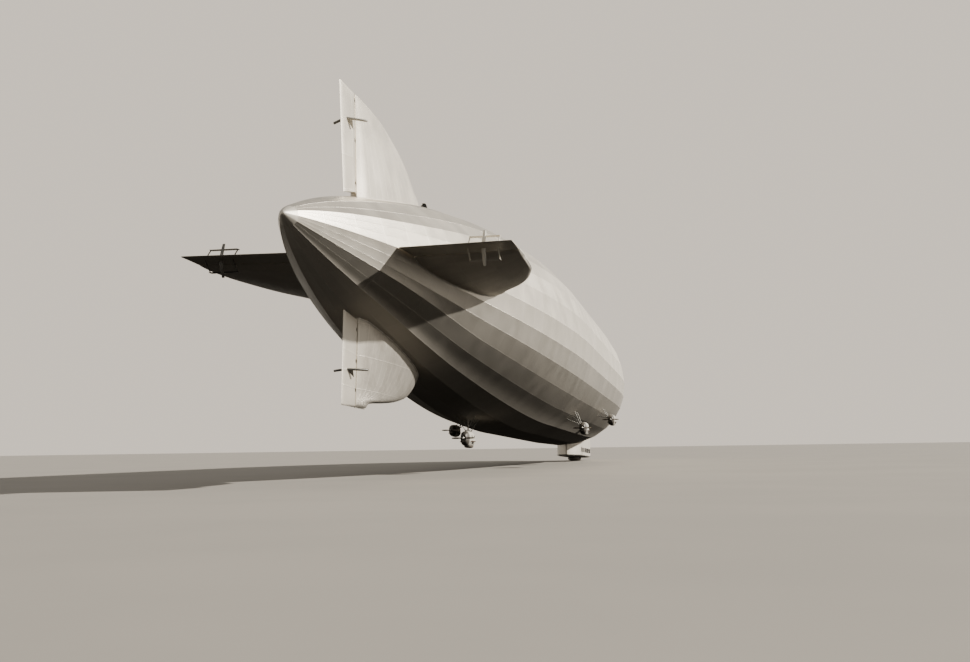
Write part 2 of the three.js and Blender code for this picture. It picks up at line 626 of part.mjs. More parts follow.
/** Point beside a car: along its axis, sideways, and towards the hull. */
function carPoint(car, distance, sideways, inward) {
  const reach = Math.hypot(car.y, car.z);
  const toHull = { y: -car.y / reach, z: -car.z / reach };
  const side = { y: toHull.z, z: -toHull.y };
  return new THREE.Vector3(
    along(car.station) + distance,
    car.y + side.y * sideways + toHull.y * inward,
    car.z + side.z * sideways + toHull.z * inward
  );
}

/** Distance from a car's axis to the skin of its nacelle, towards the hull. */
function nacelleReach({ y, z }) {
  return Math.hypot(y, z) / Math.hypot(y / NACELLE.half, z / NACELLE.tall);
}

/** Struts that hang a car from the hull: a beam on the nacelle, two splayed pairs and a ladder. */
function makeStruts(car) {
  const middle = HATCH.along;
  const skin = nacelleReach(car);
  const low = skin - STRUT.beamDeep;
  const high = skin + STRUT.beamDeep / 2;
  const ring = (distance) => [[-1, low], [1, low], [1, high], [-1, high]].map(
    ([edge, inward]) => carPoint(car, distance, (edge * STRUT.beamWide) / 2, inward)
  );
  const rear = middle - STRUT.beam / 2;
  const front = middle + STRUT.beam / 2;
  const reach = Math.hypot(car.y, car.z) - HULL_RADIUS * STRUT.root;
  const foot = skin - STRUT.sink;
  const parts = [loft([ring(rear), ring(front)])];
  const pairs = [{ at: rear + STRUT.inset, rake: -STRUT.rake }, { at: front - STRUT.inset, rake: STRUT.rake }];
  pairs.forEach(({ at, rake }) => {
    [-1, 1].forEach((edge) => parts.push(bar(
      carPoint(car, at, edge * STRUT.foot, foot), carPoint(car, at + rake, edge * STRUT.spread, reach),
      STRUT.radius, STRUT.sides
    )));
  });
  [-1, 1].forEach((edge) => {
    const at = middle + (edge * LADDER.width) / 2;
    parts.push(bar(carPoint(car, at, 0, foot), carPoint(car, at, 0, reach), LADDER.rail, LADDER.sides));
  });
  for (let inward = skin + LADDER.pitch; inward < reach; inward += LADDER.pitch) {
    parts.push(bar(
      carPoint(car, middle - LADDER.width / 2, 0, inward), carPoint(car, middle + LADDER.width / 2, 0, inward),
      LADDER.rung, LADDER.sides
    ));
  }
  const hung = join(parts).subtract(hullSeat).subtract(nacelleForm(car, SEAT_GAP, SEAT_GAP));
  addNode(`${car.name}_car_struts`, hung, COLOURS.steel);
}

/** Air bag under a car or under the gondola, flat below where it meets the ground. */
function bag(station, length, half, top, bottom) {
  const bulge = (share) => Math.sqrt(1 - (share * BAG.reach) ** 2);
  const widest = Math.min(...BAG.shares.map(Math.abs));
  const steepest = Math.sin((Math.PI * (BAG.sides / 2 - 1)) / BAG.sides);
  const middle = lerp(top, bottom, BAG.middle);
  const rings = BAG.shares.map((share) => {
    const full = bulge(share) / bulge(widest);
    const ring = [];
    for (let side = 0; side < BAG.sides; side += 1) {
      const angle = (Math.PI * (2 * side + 1)) / BAG.sides;
      const y = half * full * Math.cos(angle);
      const drop = Math.sin(angle) > 0 ? top - middle : middle - bottom;
      const z = middle + drop * (Math.sin(angle) / steepest) * lerp(BAG.endDrop, 1, full);
      ring.push(new THREE.Vector3(along(station) + (share * length) / 2, y, z));
    }
    return ring;
  });
  return loft(rings);
}

/** Outline of the gondola in plan, shrunk by an inset. */
function gondolaOutline(inset) {
  const stern = GONDOLA.stern + inset;
  const bow = GONDOLA.bow - inset;
  const port = [
    ...PLAN_STEPS.stern.map((share) => {
      const half = (GONDOLA.half - inset) * Math.sin((share * Math.PI) / 2) ** PLAN_STEPS.swell;
      return new THREE.Vector2(along(stern + share * (GONDOLA.sternRun - inset)), half);
    }),
    ...PLAN_STEPS.bow.map((share) => {
      const half = (GONDOLA.half - inset) * Math.sqrt(1 - share ** 2);
      return new THREE.Vector2(along(bow - (1 - share) * (GONDOLA.bowRun - inset)), half);
    })
  ];
  const tip = new THREE.Vector2(along(bow), 0);
  const starboard = port.map(({ x, y }) => new THREE.Vector2(x, -y)).reverse();
  return [...port, tip, ...starboard];
}

/** Solid above a plan outline, between two heights, with its lower edge tucked in. */
function prism(outline, low, high, tuck = 0) {
  const middle = along((GONDOLA.stern + GONDOLA.bow) / 2);
  const ring = (z, inset) => outline.map(({ x, y }) => {
    const across = GONDOLA.half * 2;
    return new THREE.Vector3(middle + (x - middle) * (1 - inset / across / TUCK.along), y * (1 - inset / across), z);
  });
  const rings = tuck ? [ring(low, tuck * TUCK.low), ring((low + high) / 2, tuck)] : [ring(low, 0)];
  return loft([...rings, ring(high, 0)]);
}

/** Box across the gondola between two stations. */
function slice(from, to, low = -GONDOLA.half * 2, high = GONDOLA.half * 2) {
  return box([along(from), low, CUT.low], [along(to), high, CUT.high]);
}

/** Openings for the windows on both sides of the gondola. */
function sideWindows() {
  return SIDE_WINDOWS.flatMap(({ from, width }) => [-1, 1].map((side) => box(
    [along(from), Math.min(side * CUT.inner, side * CUT.outer), WINDOW_BAND.low],
    [along(from + width), Math.max(side * CUT.inner, side * CUT.outer), WINDOW_BAND.high]
  )));
}

/** Openings for the large panes round the bow. */
function bowWindows() {
  const centre = new THREE.Vector3(along(GONDOLA.bow - GONDOLA.bowRun), 0, 0);
  const { count, reach, low, high, post, inner, outer } = BOW_WINDOWS;
  const step = (2 * reach) / count;
  const cuts = [];
  for (let pane = 0; pane < count; pane += 1) {
    const middle = -reach + (pane + 0.5) * step;
    const from = radians(middle - step / 2);
    const to = radians(middle + step / 2);
    const ring = (z) => [[inner, from], [outer, from], [outer, to], [inner, to]].map(([radius, angle], at) => {
      const inset = at < 2 ? post / 2 : -post / 2;
      return new THREE.Vector3(
        centre.x + radius * Math.cos(angle) - inset * Math.sin(angle),
        radius * Math.sin(angle) + inset * Math.cos(angle), z
      );
    });
    cuts.push(loft([ring(low), ring(high)]));
  }
  return cuts;
}

/** Walls, floor, ceiling and fittings of the gondola. */
function makeGondola() {
  const outside = gondolaOutline(0);
  const inside = gondolaOutline(GONDOLA.wall);
  const solidWalls = prism(outside, FLOOR.top + SEAT_GAP, WALL_TOP);
  const walls = solidWalls.subtract(prism(inside, CUT.low, CUT.high)).subtract(hullSeat);
  const glazed = walls.subtract(join([...sideWindows(), ...bowWindows()]));
  const doorway = box(
    [along(DOOR.from - DOOR.gap), -CUT.outer, DOOR.low - DOOR.gap],
    [along(DOOR.from + DOOR.width + DOOR.gap), -CUT.inner, DOOR.high + DOOR.gap]
  );
  const half = SEAT_GAP / 2;
  const port = glazed.intersect(slice(STERN_SPLIT + half, BOW_SPLIT - half, 0));
  const starboard = glazed.intersect(slice(STERN_SPLIT + half, BOW_SPLIT - half, undefined, 0)).subtract(doorway);
  addNode('gondola_port_side', port, COLOURS.cover);
  addNode('gondola_starboard_side', join([starboard, ...doorHingeFrame()]), COLOURS.cover);
  addNode('gondola_bow', glazed.intersect(slice(BOW_SPLIT + half, GONDOLA.bow + CUT.end)), COLOURS.cover);
  addNode('gondola_stern', glazed.intersect(slice(GONDOLA.stern - CUT.end, STERN_SPLIT - half)), COLOURS.cover);
  addNode('gondola_floor', prism(outside, FLOOR.top - FLOOR.thick, FLOOR.top, FLOOR.tuck), COLOURS.cover);
  const room = gondolaOutline(GONDOLA.wall + SEAT_GAP);
  const ceiling = prism(room, CEILING.under, CEILING.under + CEILING.thick).subtract(hullSeat);
  addNode('gondola_ceiling', ceiling, COLOURS.cabin);
  BULKHEADS.forEach(({ name, station }) => {
    const panel = prism(room, FLOOR.top + SEAT_GAP, CEILING.under - SEAT_GAP);
    const passage = box(
      [along(station) - PASSAGE.reach, -PASSAGE.half, CUT.low],
      [along(station) + PASSAGE.reach, PASSAGE.half, PASSAGE.high]
    );
    addNode(name, panel.intersect(slice(station, station + BULKHEAD_THICK)).subtract(passage), COLOURS.cabin);
  });
  STANDS.forEach(makeStand);
  const floorUnder = FLOOR.top - FLOOR.thick - SEAT_GAP;
  const { station, length, bottom } = GONDOLA_BUMPER;
  addNode('gondola_bumper', bag(station, length, GONDOLA_BUMPER.half, floorUnder, bottom), COLOURS.rubber);
}

/** Steering stand with its hand wheel. */
function makeStand({ name, station, y, wheelAxis }) {
  const foot = new THREE.Vector3(along(station), y, FLOOR.top + SEAT_GAP);
  const head = foot.clone().setZ(foot.z + STAND.height);
  const post = bar(foot, head, STAND.radius, STAND.sides, STAND.radius * STAND.taper);
  const rim = new THREE.TorusGeometry(STAND.wheel, STAND.rim, 4, 10);
  const spoke = new THREE.CylinderGeometry(STAND.rim, STAND.rim, 2 * STAND.wheel, 4);
  const wheel = join([solid(rim), solid(spoke), solid(spoke.clone().rotateZ(Math.PI / 2))]);
  const turned = wheelAxis === 'x' ? wheel.rotate([0, 90, 0]) : wheel.rotate([90, 0, 0]);
  const out = wheelAxis === 'x' ? new THREE.Vector3(-1, 0, 0) : new THREE.Vector3(0, -1, 0);
  const root = head.clone().setZ(head.z - STAND.wheelDrop);
  const centre = root.clone().addScaledVector(out, STAND.radius + STAND.wheelGap);
  const axle = bar(root, centre, STAND.axle, STAND.sides);
  addNode(name, join([post, axle, turned.translate([centre.x, centre.y, centre.z])]), COLOURS.steel);
}

/** Centre of the door's hinge line. */
function doorHinge(z) {
  const x = along(DOOR.from + DOOR.width + DOOR.gap / 2);
  return new THREE.Vector3(x, -GONDOLA.half - DOOR_HINGE.out, z);
}

/** Hinge halves on the side wall: a pin held in an ear above and below each knuckle. */
function doorHingeFrame() {
  const { pin, knuckle, tall, levels, sides, out, pinReach, earPlace, earHalf, sink } = DOOR_HINGE;
  const face = -GONDOLA.half;
  return levels.flatMap((level) => {
    const low = doorHinge(level - tall * pinReach);
    const high = doorHinge(level + tall * pinReach);
    const ears = [-1, 1].flatMap((end) => {
      const bottom = level + tall * (end * earPlace - earHalf);
      const top = level + tall * (end * earPlace + earHalf);
      return [
        box([low.x - knuckle, face - out - knuckle, bottom], [low.x + knuckle * 3, face - sink, top]),
        box([low.x + knuckle, face - out, bottom], [low.x + knuckle * 3, face + sink, top])
      ];
    });
    return [bar(low, high, pin, sides), ...ears];
  });
}

/** Passenger door on the starboard side. */
function makeDoor() {
  const { bore, knuckle, tall, levels, sides, out, sink, lap } = DOOR_HINGE;
  const face = -GONDOLA.half;
  const rear = along(DOOR.from);
  const front = along(DOOR.from + DOOR.width);
  const leaf = box([rear, face, DOOR.low], [front, face + GONDOLA.wall, DOOR.high]);
  const arms = levels.map((level) => {
    const hinge = doorHinge(level);
    const arm = box(
      [front - DOOR.frame, face - out - knuckle, level - tall / 2], [hinge.x + knuckle, face + lap, level + tall / 2]
    );
    return arm.subtract(box([front, face - out + knuckle, level - tall], [hinge.x + tall, face + sink, level + tall]));
  });
  const bores = levels.map((level) => bar(doorHinge(level - tall), doorHinge(level + tall), bore, sides));
  const pane = box(
    [rear + DOOR.frame, -CUT.outer, WINDOW_BAND.low + DOOR.sill], [front - DOOR.frame, -CUT.inner, WINDOW_BAND.high]
  );
  addNode('gondola_door', join([leaf, ...arms]).subtract(join(bores)).subtract(pane), COLOURS.cover);
}

/** Rear car's air bag, seated under its nacelle. */
function makeRearBumper() {
  const car = CARS[0];
  const station = car.station + NACELLE.length * REAR_BUMPER.along;
  const top = car.z - NACELLE.tall * REAR_BUMPER.seat;
  const shape = bag(station, REAR_BUMPER.length, REAR_BUMPER.half, top, REAR_BUMPER.bottom);
  addNode('rear_car_bumper', shape.subtract(nacelleForm(car, SEAT_GAP, SEAT_GAP)), COLOURS.rubber);
}

makeEnvelope();
makeNoseCap();
makeTailCap();
makeHood();
FINS.forEach((fin) => {
  makeFin(fin);
  makeSurface(fin);
});
CARS.forEach((car) => {
  makeNacelle(car);
  makeEngine(car);
  makeStruts(car);
  makePropeller(car);
});
makeRearBumper();
makeGondola();
makeDoor();

export default airship;
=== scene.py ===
"""Looks of a rigid airship, built at one tenth of full size round its fixed frame.

Metres. +X runs to the nose, +Y to port and +Z up, with the origin on the hull's long axis at the centre of
buoyancy. Stations are counted forward from the stern tip, and spans outward from the hull's axis.
"""

import logging
import math
from collections.abc import Sequence
from dataclasses import dataclass, field
from enum import Enum

import bmesh
import bpy
from mathutils import Matrix, Vector


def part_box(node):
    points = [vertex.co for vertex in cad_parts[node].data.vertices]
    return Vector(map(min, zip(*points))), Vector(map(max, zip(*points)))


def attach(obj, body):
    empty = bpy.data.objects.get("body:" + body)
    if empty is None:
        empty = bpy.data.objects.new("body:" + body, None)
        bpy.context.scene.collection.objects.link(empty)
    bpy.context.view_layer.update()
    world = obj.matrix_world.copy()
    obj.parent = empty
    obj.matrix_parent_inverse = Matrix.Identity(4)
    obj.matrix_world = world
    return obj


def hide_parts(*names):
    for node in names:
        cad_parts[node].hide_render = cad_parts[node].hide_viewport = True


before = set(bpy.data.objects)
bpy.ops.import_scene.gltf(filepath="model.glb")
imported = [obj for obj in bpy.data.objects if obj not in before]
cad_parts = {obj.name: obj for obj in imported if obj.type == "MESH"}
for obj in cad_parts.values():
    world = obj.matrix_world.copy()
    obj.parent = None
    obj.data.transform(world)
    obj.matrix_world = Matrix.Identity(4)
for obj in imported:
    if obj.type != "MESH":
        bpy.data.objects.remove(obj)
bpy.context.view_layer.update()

LOG = logging.getLogger("airship")

Piece = bpy.types.Object
Paint = bpy.types.Material
Socket = bpy.types.NodeSocket
Sockets = bpy.types.bpy_prop_collection
Ring = list[Vector]
Pair = tuple[float, float]
Colour = tuple[float, float, float]

MM = 0.001
PLACE = "ring_place"
LEVEL = "ring_level"
CHART = "Chart"
AIRSHIP = "airship"
SIDES = (-1, 1)
WAVE_SCALE = 0.32
SPAR_FORM = ((0, 0.7), (0.02, 1), (0.5, 1), (0.98, 1), (1, 0.7))


class Slot(Enum):
    """Material slots of the part."""

    COVER = "cover_fabric"
    CAP = "cap_metal"
    NACELLE = "nacelle_metal"
    STEEL = "steel"
    WOOD = "propeller_wood"
    BUMPER = "bumper_cloth"
    CABIN = "cabin_panel"
    GLASS = "window_glass"


class Steering(Enum):
    """What stands out from the faces of a rudder or an elevator."""

    ARM = "arm with a gusset"
    PLANE = "balance plane on a mast"


# Small modelling helpers


def lerp(low: float, high: float, share: float) -> float:
    """Returns the value at a share of the way from low to high."""
    return low + (high - low) * share


def smoothstep(value: float, low: float, high: float) -> float:
    """Returns 0 below low, 1 above high and a smooth step between them."""
    share = min(max((value - low) / (high - low), 0.0), 1.0)
    return share * share * (3 - 2 * share)


def signed_power(value: float, power: float) -> float:
    """Returns a power of a value's size, with the value's own sign."""
    return math.copysign(abs(value) ** power, value)


def dome(place: float, least: float = 0.0) -> float:
    """Returns the height of a unit half circle at a place, but no less than the root of the least."""
    return math.sqrt(max(1 - place**2, least))


def read_off(points: Sequence[Sequence[float]], at: float, otherwise: float) -> float:
    """Reads the value at a place on a line of points.

    Args:
        points: Places with their values, in rising order.
        at: The place.
        otherwise: Value outside the line.

    Returns:
        The value there.
    """
    for (low, first), (high, second) in zip(points, points[1:]):
        if low <= at <= high and high > low:
            return lerp(first, second, (at - low) / (high - low))
    return otherwise


def select_only(*chosen: Piece) -> None:
    """Selects these pieces and nothing else, in object mode, with the first one active.

    Args:
        *chosen: The pieces.
    """
    if bpy.context.mode != "OBJECT":
        bpy.ops.object.mode_set(mode="OBJECT")
    bpy.ops.object.select_all(action="DESELECT")
    for piece in chosen:
        piece.select_set(True)
    bpy.context.view_layer.objects.active = chosen[0] if chosen else None


def rename(piece: Piece, name: str) -> Piece:
    """Gives a piece and its mesh one name.

    Args:
        piece: The piece.
        name: Its new name.

    Returns:
        The same piece.
    """
    piece.name = name
    piece.data.name = name
    return piece


def loft(name: str, rings: Sequence[Ring], along: Sequence[float] = (), around: Sequence[float] = ()) -> Piece:
    """Extrudes a filled circle through rings of points, so that the result is one closed form.

    Args:
        name: The piece's name.
        rings: Rings of points, all with the same count.
        along: Chart value of each ring. Without it the piece gets no UV map.
        around: Chart value of each place round a ring, and one more for the closing seam.

    Returns:
        The closed piece, with its faces pointing out.
    """
    select_only()
    bpy.ops.mesh.primitive_circle_add(
        vertices=len(rings[0]), radius=1.0, fill_type="NGON", calc_uvs=False, enter_editmode=True
    )
    piece = rename(bpy.context.object, name)
    mesh = bmesh.from_edit_mesh(piece.data)
    mesh.verts.layers.int.new(PLACE)
    mesh.verts.layers.int.new(LEVEL)
    place = mesh.verts.layers.int[PLACE]
    for at, vertex in enumerate(mesh.verts):
        vertex[place] = at
        vertex.co = rings[0][at]
    bmesh.update_edit_mesh(piece.data)
    for level, points in enumerate(rings[1:], 1):
        bpy.ops.mesh.extrude_region_move()
        mesh = bmesh.from_edit_mesh(piece.data)
        place = mesh.verts.layers.int[PLACE]
        height = mesh.verts.layers.int[LEVEL]
        for vertex in mesh.verts:
            if vertex.select:
                vertex.co = points[vertex[place]]
                vertex[height] = level
    bpy.ops.mesh.select_all(action="SELECT")
    bpy.ops.mesh.normals_make_consistent(inside=False)
    bpy.ops.object.mode_set(mode="OBJECT")
    if along:
        chart(piece, along, around)
    return piece


def chart(piece: Piece, along: Sequence[float], around: Sequence[float]) -> None:
    """Writes a lofted piece's UV map from the values of its rings and of the places round them.

    Args:
        piece: A lofted piece.
        along: A value for each ring.
        around: A value for each place round a ring, and for the first one again.
    """
    mesh = piece.data
    uv = mesh.uv_layers.new(name=CHART)
    places = mesh.attributes[PLACE].data
    levels = mesh.attributes[LEVEL].data
    last = len(around) - 1
    for face in mesh.polygons:
        sides = [places[vertex].value for vertex in face.vertices]
        closing = 0 in sides and last - 1 in sides and len(sides) == 4
        for corner, vertex, side in zip(face.loop_indices, face.vertices, sides):
            turn = last if closing and side == 0 else side
            uv.data[corner].uv = (along[levels[vertex].value], around[turn])


def merge(name: str, parts: Sequence[Piece]) -> Piece:
    """Joins pieces into one.

    Args:
        name: Name of the result.
        parts: Pieces to join, which are used up.

    Returns:
        The joined piece.
    """
    select_only(*parts)
    if len(parts) > 1:
        bpy.ops.object.join()
    return rename(bpy.context.object, name)


def carve(piece: Piece, cutter: Piece, operation: str = "DIFFERENCE") -> Piece:
    """Cuts or keeps where a second solid is, which is then removed.

    Args:
        piece: The piece that is cut.
        cutter: The second solid.
        operation: DIFFERENCE to cut, INTERSECT to keep.

    Returns:
        The same piece.
    """
    select_only(piece)
    modifier = piece.modifiers.new("carve", "BOOLEAN")
    modifier.operation = operation
    modifier.object = cutter
    modifier.solver = "EXACT"
    bpy.ops.object.modifier_apply(modifier=modifier.name)
    bpy.data.objects.remove(cutter)
    return piece


def soften(piece: Piece, width: float, segments: int = 2, angle: float = 40.0) -> Piece:
    """Rounds the hard edges of a piece.

    Args:
        piece: The piece.
        width: Width of the rounding.
        segments: Steps of the rounding.
        angle: Least angle of a hard edge in degrees.

    Returns:
        The same piece.
    """
    select_only(piece)
    modifier = piece.modifiers.new("soften", "BEVEL")
    modifier.width = width
    modifier.segments = segments
    modifier.limit_method = "ANGLE"
    modifier.angle_limit = math.radians(angle)
    modifier.use_clamp_overlap = True
    bpy.ops.object.modifier_apply(modifier=modifier.name)
    return piece


def copy_of(piece: Piece, name: str, shift: Sequence[float] = (0, 0, 0)) -> Piece:
    """Returns a copy with its own mesh, moved by a shift.

    Args:
        piece: What to copy.
        name: Name of the copy.
        shift: How far to move it.

    Returns:
        The copy.
    """
    twin = piece.copy()
    twin.data = piece.data.copy()
    bpy.context.scene.collection.objects.link(twin)
    twin.data.transform(Matrix.Translation(shift))
    return rename(twin, name)


def smooth_path(points: Sequence[Vector], steps: int) -> list[Vector]:
    """Rounds a line of points with a curve that passes through all of them.

    Args:
        points: The line.
        steps: Steps from one point to the next.

    Returns:
        Points of the curve.
    """
    ends = [2 * points[0] - points[1], *points, 2 * points[-1] - points[-2]]
    path = []
    for before, start, end, after in zip(ends, ends[1:], ends[2:], ends[3:]):
        for step in range(steps):
            t = step / steps
            bend = (2 * before - 5 * start + 4 * end - after) * t * t
            twist = (3 * start - before - 3 * end + after) * t**3
            path.append(0.5 * (2 * start + (end - before) * t + bend + twist))
    return [*path, points[-1].copy()]


def tube(name: str, path: Sequence[Vector], radius: float, sides: int = 8, end_radius: float = 0.0) -> Piece:
    """Round bar or pipe along a path.

    Args:
        name: The piece's name.
        path: Points of its middle line.
        radius: Radius at the start.
        sides: Points round it.
        end_radius: Radius at the end, or 0 for an even tube.

    Returns:
        The closed tube.
    """
    rings = []
    side = None
    for at, point in enumerate(path):
        direction = (path[min(at + 1, len(path) - 1)] - path[max(at - 1, 0)]).normalized()
        side = direction.orthogonal() if side is None else side - direction * side.dot(direction)
        side.normalize()
        across = direction.cross(side)
        here = lerp(radius, end_radius or radius, at / (len(path) - 1))
        rings.append([point + (side * math.cos(a) + across * math.sin(a)) * here for a in round_angles(sides)])
    return loft(name, rings)


def round_angles(sides: int) -> list[float]:
    """Returns evenly spaced angles round a circle, in radians."""
    return [math.tau * side / sides for side in range(sides)]


def spar(name: str, start: Vector, end: Vector, wide: Vector, thick: float, shrink: float = 1.0) -> Piece:
    """Straight bar with an oval section and rounded ends.

    Args:
        name: The piece's name.
        start: Middle of its foot.
        end: Middle of its head.
        wide: Half of its wide side, as a vector.
        thick: Half of its thin side.
        shrink: Size at the head as a share of the size at the foot.

    Returns:
        The closed bar.
    """
    across = (end - start).normalized().cross(wide).normalized() * thick
    rings = []
    for share, full in SPAR_FORM:
        size = full * lerp(1.0, shrink, share)
        middle = start.lerp(end, share)
        rings.append([middle + (wide * math.cos(a) + across * math.sin(a)) * size for a in round_angles(12)])
    return loft(name, rings)


def rod(name: str, ends: Pair, radius: float, sides: int) -> Piece:
    """Round bar on the X axis."""
    return tube(name, [Vector((x, 0, 0)) for x in ends], radius, sides)


def turned(name: str, profile: Sequence[Pair], radius: float) -> Piece:
    """Solid turned round the X axis.

    Args:
        name: The piece's name.
        profile: Places on X, each with its radius as a share of the full one.
        radius: The full radius.

    Returns:
        The closed solid.
    """
    return loft(name, [
        [Vector((at, radius * full * math.cos(a), radius * full * math.sin(a))) for a in round_angles(24)]
        for at, full in profile
    ])


def about(middle: float, half: float) -> Pair:
    """Returns the ends of a span from its middle and half length."""
    return middle - half, middle + half


def block(name: str, x: Pair, y: Pair, z: Pair, edge: float = 0.0) -> Piece:
    """Box given by its ends on each axis, with its edges rounded.

    Args:
        name: Name of the box.
        x: Ends along the hull.
        y: Ends across it.
        z: Ends in height.
        edge: Width of the rounding.

    Returns:
        The box.
    """
    low, high = (Vector(corner) for corner in zip(x, y, z))
    select_only()
    bpy.ops.mesh.primitive_cube_add(size=1.0, calc_uvs=False, location=(low + high) / 2)
    piece = rename(bpy.context.object, name)
    piece.scale = high - low
    bpy.ops.object.transform_apply(location=True, rotation=True, scale=True)
    return soften(piece, edge) if edge else piece


def settle(
    piece: Piece, body: str, paint: Paint | None, stands_for: Sequence[str] = (), crease: float = 30.0
) -> Piece:
    """Applies a finished piece's place, dresses it and lets it ride on its body.

    Args:
        piece: The finished piece.
        body: The body that it moves with.
        paint: Its only material, or None where its faces have theirs already.
        stands_for: CAD nodes that it replaces.
        crease: Angle above which an edge stays sharp, in degrees.

    Returns:
        The same piece.
    """
    select_only(piece)
    bpy.ops.object.transform_apply(location=True, rotation=True, scale=True)
    bpy.ops.object.shade_smooth_by_angle(angle=math.radians(crease), keep_sharp_edges=True)
    if paint:
        piece.data.materials.clear()
        piece.data.materials.append(paint)
    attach(piece, body)
    if stands_for:
        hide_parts(*stands_for)
    LOG.info("%s: %d faces, on %s", piece.name, len(piece.data.polygons), body)
    return piece


def dress(node: str, paint: Paint) -> None:
    """Gives a carried-over CAD node its material.

    Args:
        node: Name of the node.
        paint: Its finish.
    """
    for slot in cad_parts[node].material_slots:
        slot.material = paint
    LOG.info("%s: carried over", node)


# Shader building


class Graph:
    """Short ways to add and link the nodes of one tree."""

    def __init__(self, tree: bpy.types.NodeTree) -> None:
        """Keeps the tree that is built."""
        self.tree = tree

    def add(self, kind: str, **settings: object) -> bpy.types.Node:
        """Adds a node and sets its properties.

        Args:
            kind: Type of the node.
            **settings: Its properties by name.

        Returns:
            The node.
        """
        node = self.tree.nodes.new(kind)
        for key, value in settings.items():
            setattr(node, key, value)
        return node

    def feed(self, socket: Socket, value: object) -> None:
        """Links a socket, or sets its own value.

        Args:
            socket: Input of a node.
            value: A socket, or a plain value.
        """
        if isinstance(value, bpy.types.NodeSocket):
            self.tree.links.new(value, socket)
        else:
            socket.default_value = value

    def fill(self, node: bpy.types.Node, values: dict[str, object]) -> Sockets:
        """Feeds a node's inputs by name and returns its outputs.

        Args:
            node: The node.
            values: Sockets or plain values by input name.

        Returns:
            The outputs.
        """
        for key, value in values.items():
            self.feed(node.inputs[key], value)
        return node.outputs

    def math(self, operation: str, *values: object) -> Socket:
        """Returns the result of one arithmetic step.

        Args:
            operation: Name of the step.
            *values: What it works on.

        Returns:
            The result.
        """
        node = self.add("ShaderNodeMath", operation=operation)
        for socket, value in zip(node.inputs, values):
            self.feed(socket, value)
        return node.outputs[0]

    def times(self, first: object, second: object) -> Socket:
        """Returns a product."""
        return self.math("MULTIPLY", first, second)

    def plus(self, first: object, second: object) -> Socket:
        """Returns a sum."""
        return self.math("ADD", first, second)

    def split(self, vector: Socket) -> Sockets:
        """Returns the three parts of a vector."""
        return self.fill(self.add("ShaderNodeSeparateXYZ"), {"Vector": vector})

    def chart(self) -> Socket:
        """Returns the piece's own UV map."""
        return self.add("ShaderNodeUVMap", uv_map=CHART).outputs["UV"]

    def step(self, value: Socket, low: object, high: object, start: float = 0.0, end: float = 1.0) -> Socket:
        """Returns a smooth step of a value, from start at low to end at high.

        Args:
            value: What is compared.
            low: Where the step starts.
            high: Where it ends.
            start: Result below it.
            end: Result above it.

        Returns:
            The stepped value.
        """
        node = self.add("ShaderNodeMapRange", interpolation_type="SMOOTHSTEP")
        ends = {"Value": value, "From Min": low, "From Max": high, "To Min": start, "To Max": end}
        return self.fill(node, ends)["Result"]

    def noise(self, place: Socket, scale: object, detail: float = 3.0, roughness: float = 0.5) -> Socket:
        """Returns the strength of a cloudy noise."""
        values = {"Vector": place, "Scale": scale, "Detail": detail, "Roughness": roughness}
        return self.fill(self.add("ShaderNodeTexNoise"), values)["Fac"]

    def wave(self, place: Socket, axis: str, scale: object, distortion: float) -> Socket:
        """Returns the strength of waves that follow each other along an axis."""
        node = self.add("ShaderNodeTexWave", bands_direction=axis)
        return self.fill(node, {"Vector": place, "Scale": scale, "Distortion": distortion})["Fac"]

    def stretched(self, place: Socket, scale: Sequence[float]) -> Socket:
        """Returns a place scaled on each axis."""
        return self.fill(self.add("ShaderNodeMapping"), {"Vector": place, "Scale": scale})["Vector"]

    def tint(self, share: object, first: object, second: object) -> Socket:
        """Returns a blend of two colours.

        Args:
            share: Share of the second colour.
            first: First colour.
            second: Second colour.

        Returns:
            The blend.
        """
        node = self.add("ShaderNodeMix", data_type="RGBA")
        self.feed(node.inputs["Factor"], share)
        colours = [socket for socket in node.inputs if socket.type == "RGBA"]
        for socket, value in zip(colours, (first, second)):
            self.feed(socket, value if isinstance(value, bpy.types.NodeSocket) else (*value, 1.0))
        return next(socket for socket in node.outputs if socket.type == "RGBA")

    def layered(self, colour: object, *layers: tuple[Socket, float, Colour]) -> Socket:
        """Returns a colour under layers, each with its mask, its strength and its own colour.

        Args:
            colour: Colour at the bottom.
            *layers: Each layer, from the bottom up.

        Returns:
            The colour on top.
        """
        for mask, strength, other in layers:
            colour = self.tint(self.times(mask, strength), colour, other)
        return colour

    def bump(self, height: Socket, distance: float) -> Socket:
        """Returns a normal raised by a height."""
        values = {"Strength": 1.0, "Distance": distance, "Height": height}
        return self.fill(self.add("ShaderNodeBump"), values)["Normal"]

    def group(self, tree: bpy.types.NodeTree, **values: object) -> Sockets:
        """Places a shared group, sets its inputs and returns its outputs."""
        return self.fill(self.add("ShaderNodeGroup", node_tree=tree), values)


VECTOR = "NodeSocketVector"
FLOAT = "NodeSocketFloat"
TAPE_FADE = 1.4


def new_group(name: str, inputs: dict[str, str], outputs: Sequence[str]) -> tuple[Graph, Sockets, bpy.types.Node]:
    """Starts a shared node group.

    Args:
        name: The group's name.
        inputs: Socket names and their types.
        outputs: Names of the values that it puts out.

    Returns:
        The graph, its input sockets by name, and its output node.
    """
    tree = bpy.data.node_groups.new(name, "ShaderNodeTree")
    for key, kind in inputs.items():
        tree.interface.new_socket(name=key, in_out="INPUT", socket_type=kind)
    for key in outputs:
        tree.interface.new_socket(name=key, in_out="OUTPUT", socket_type=FLOAT)
    graph = Graph(tree)
    return graph, graph.add("NodeGroupInput").outputs, graph.add("NodeGroupOutput")


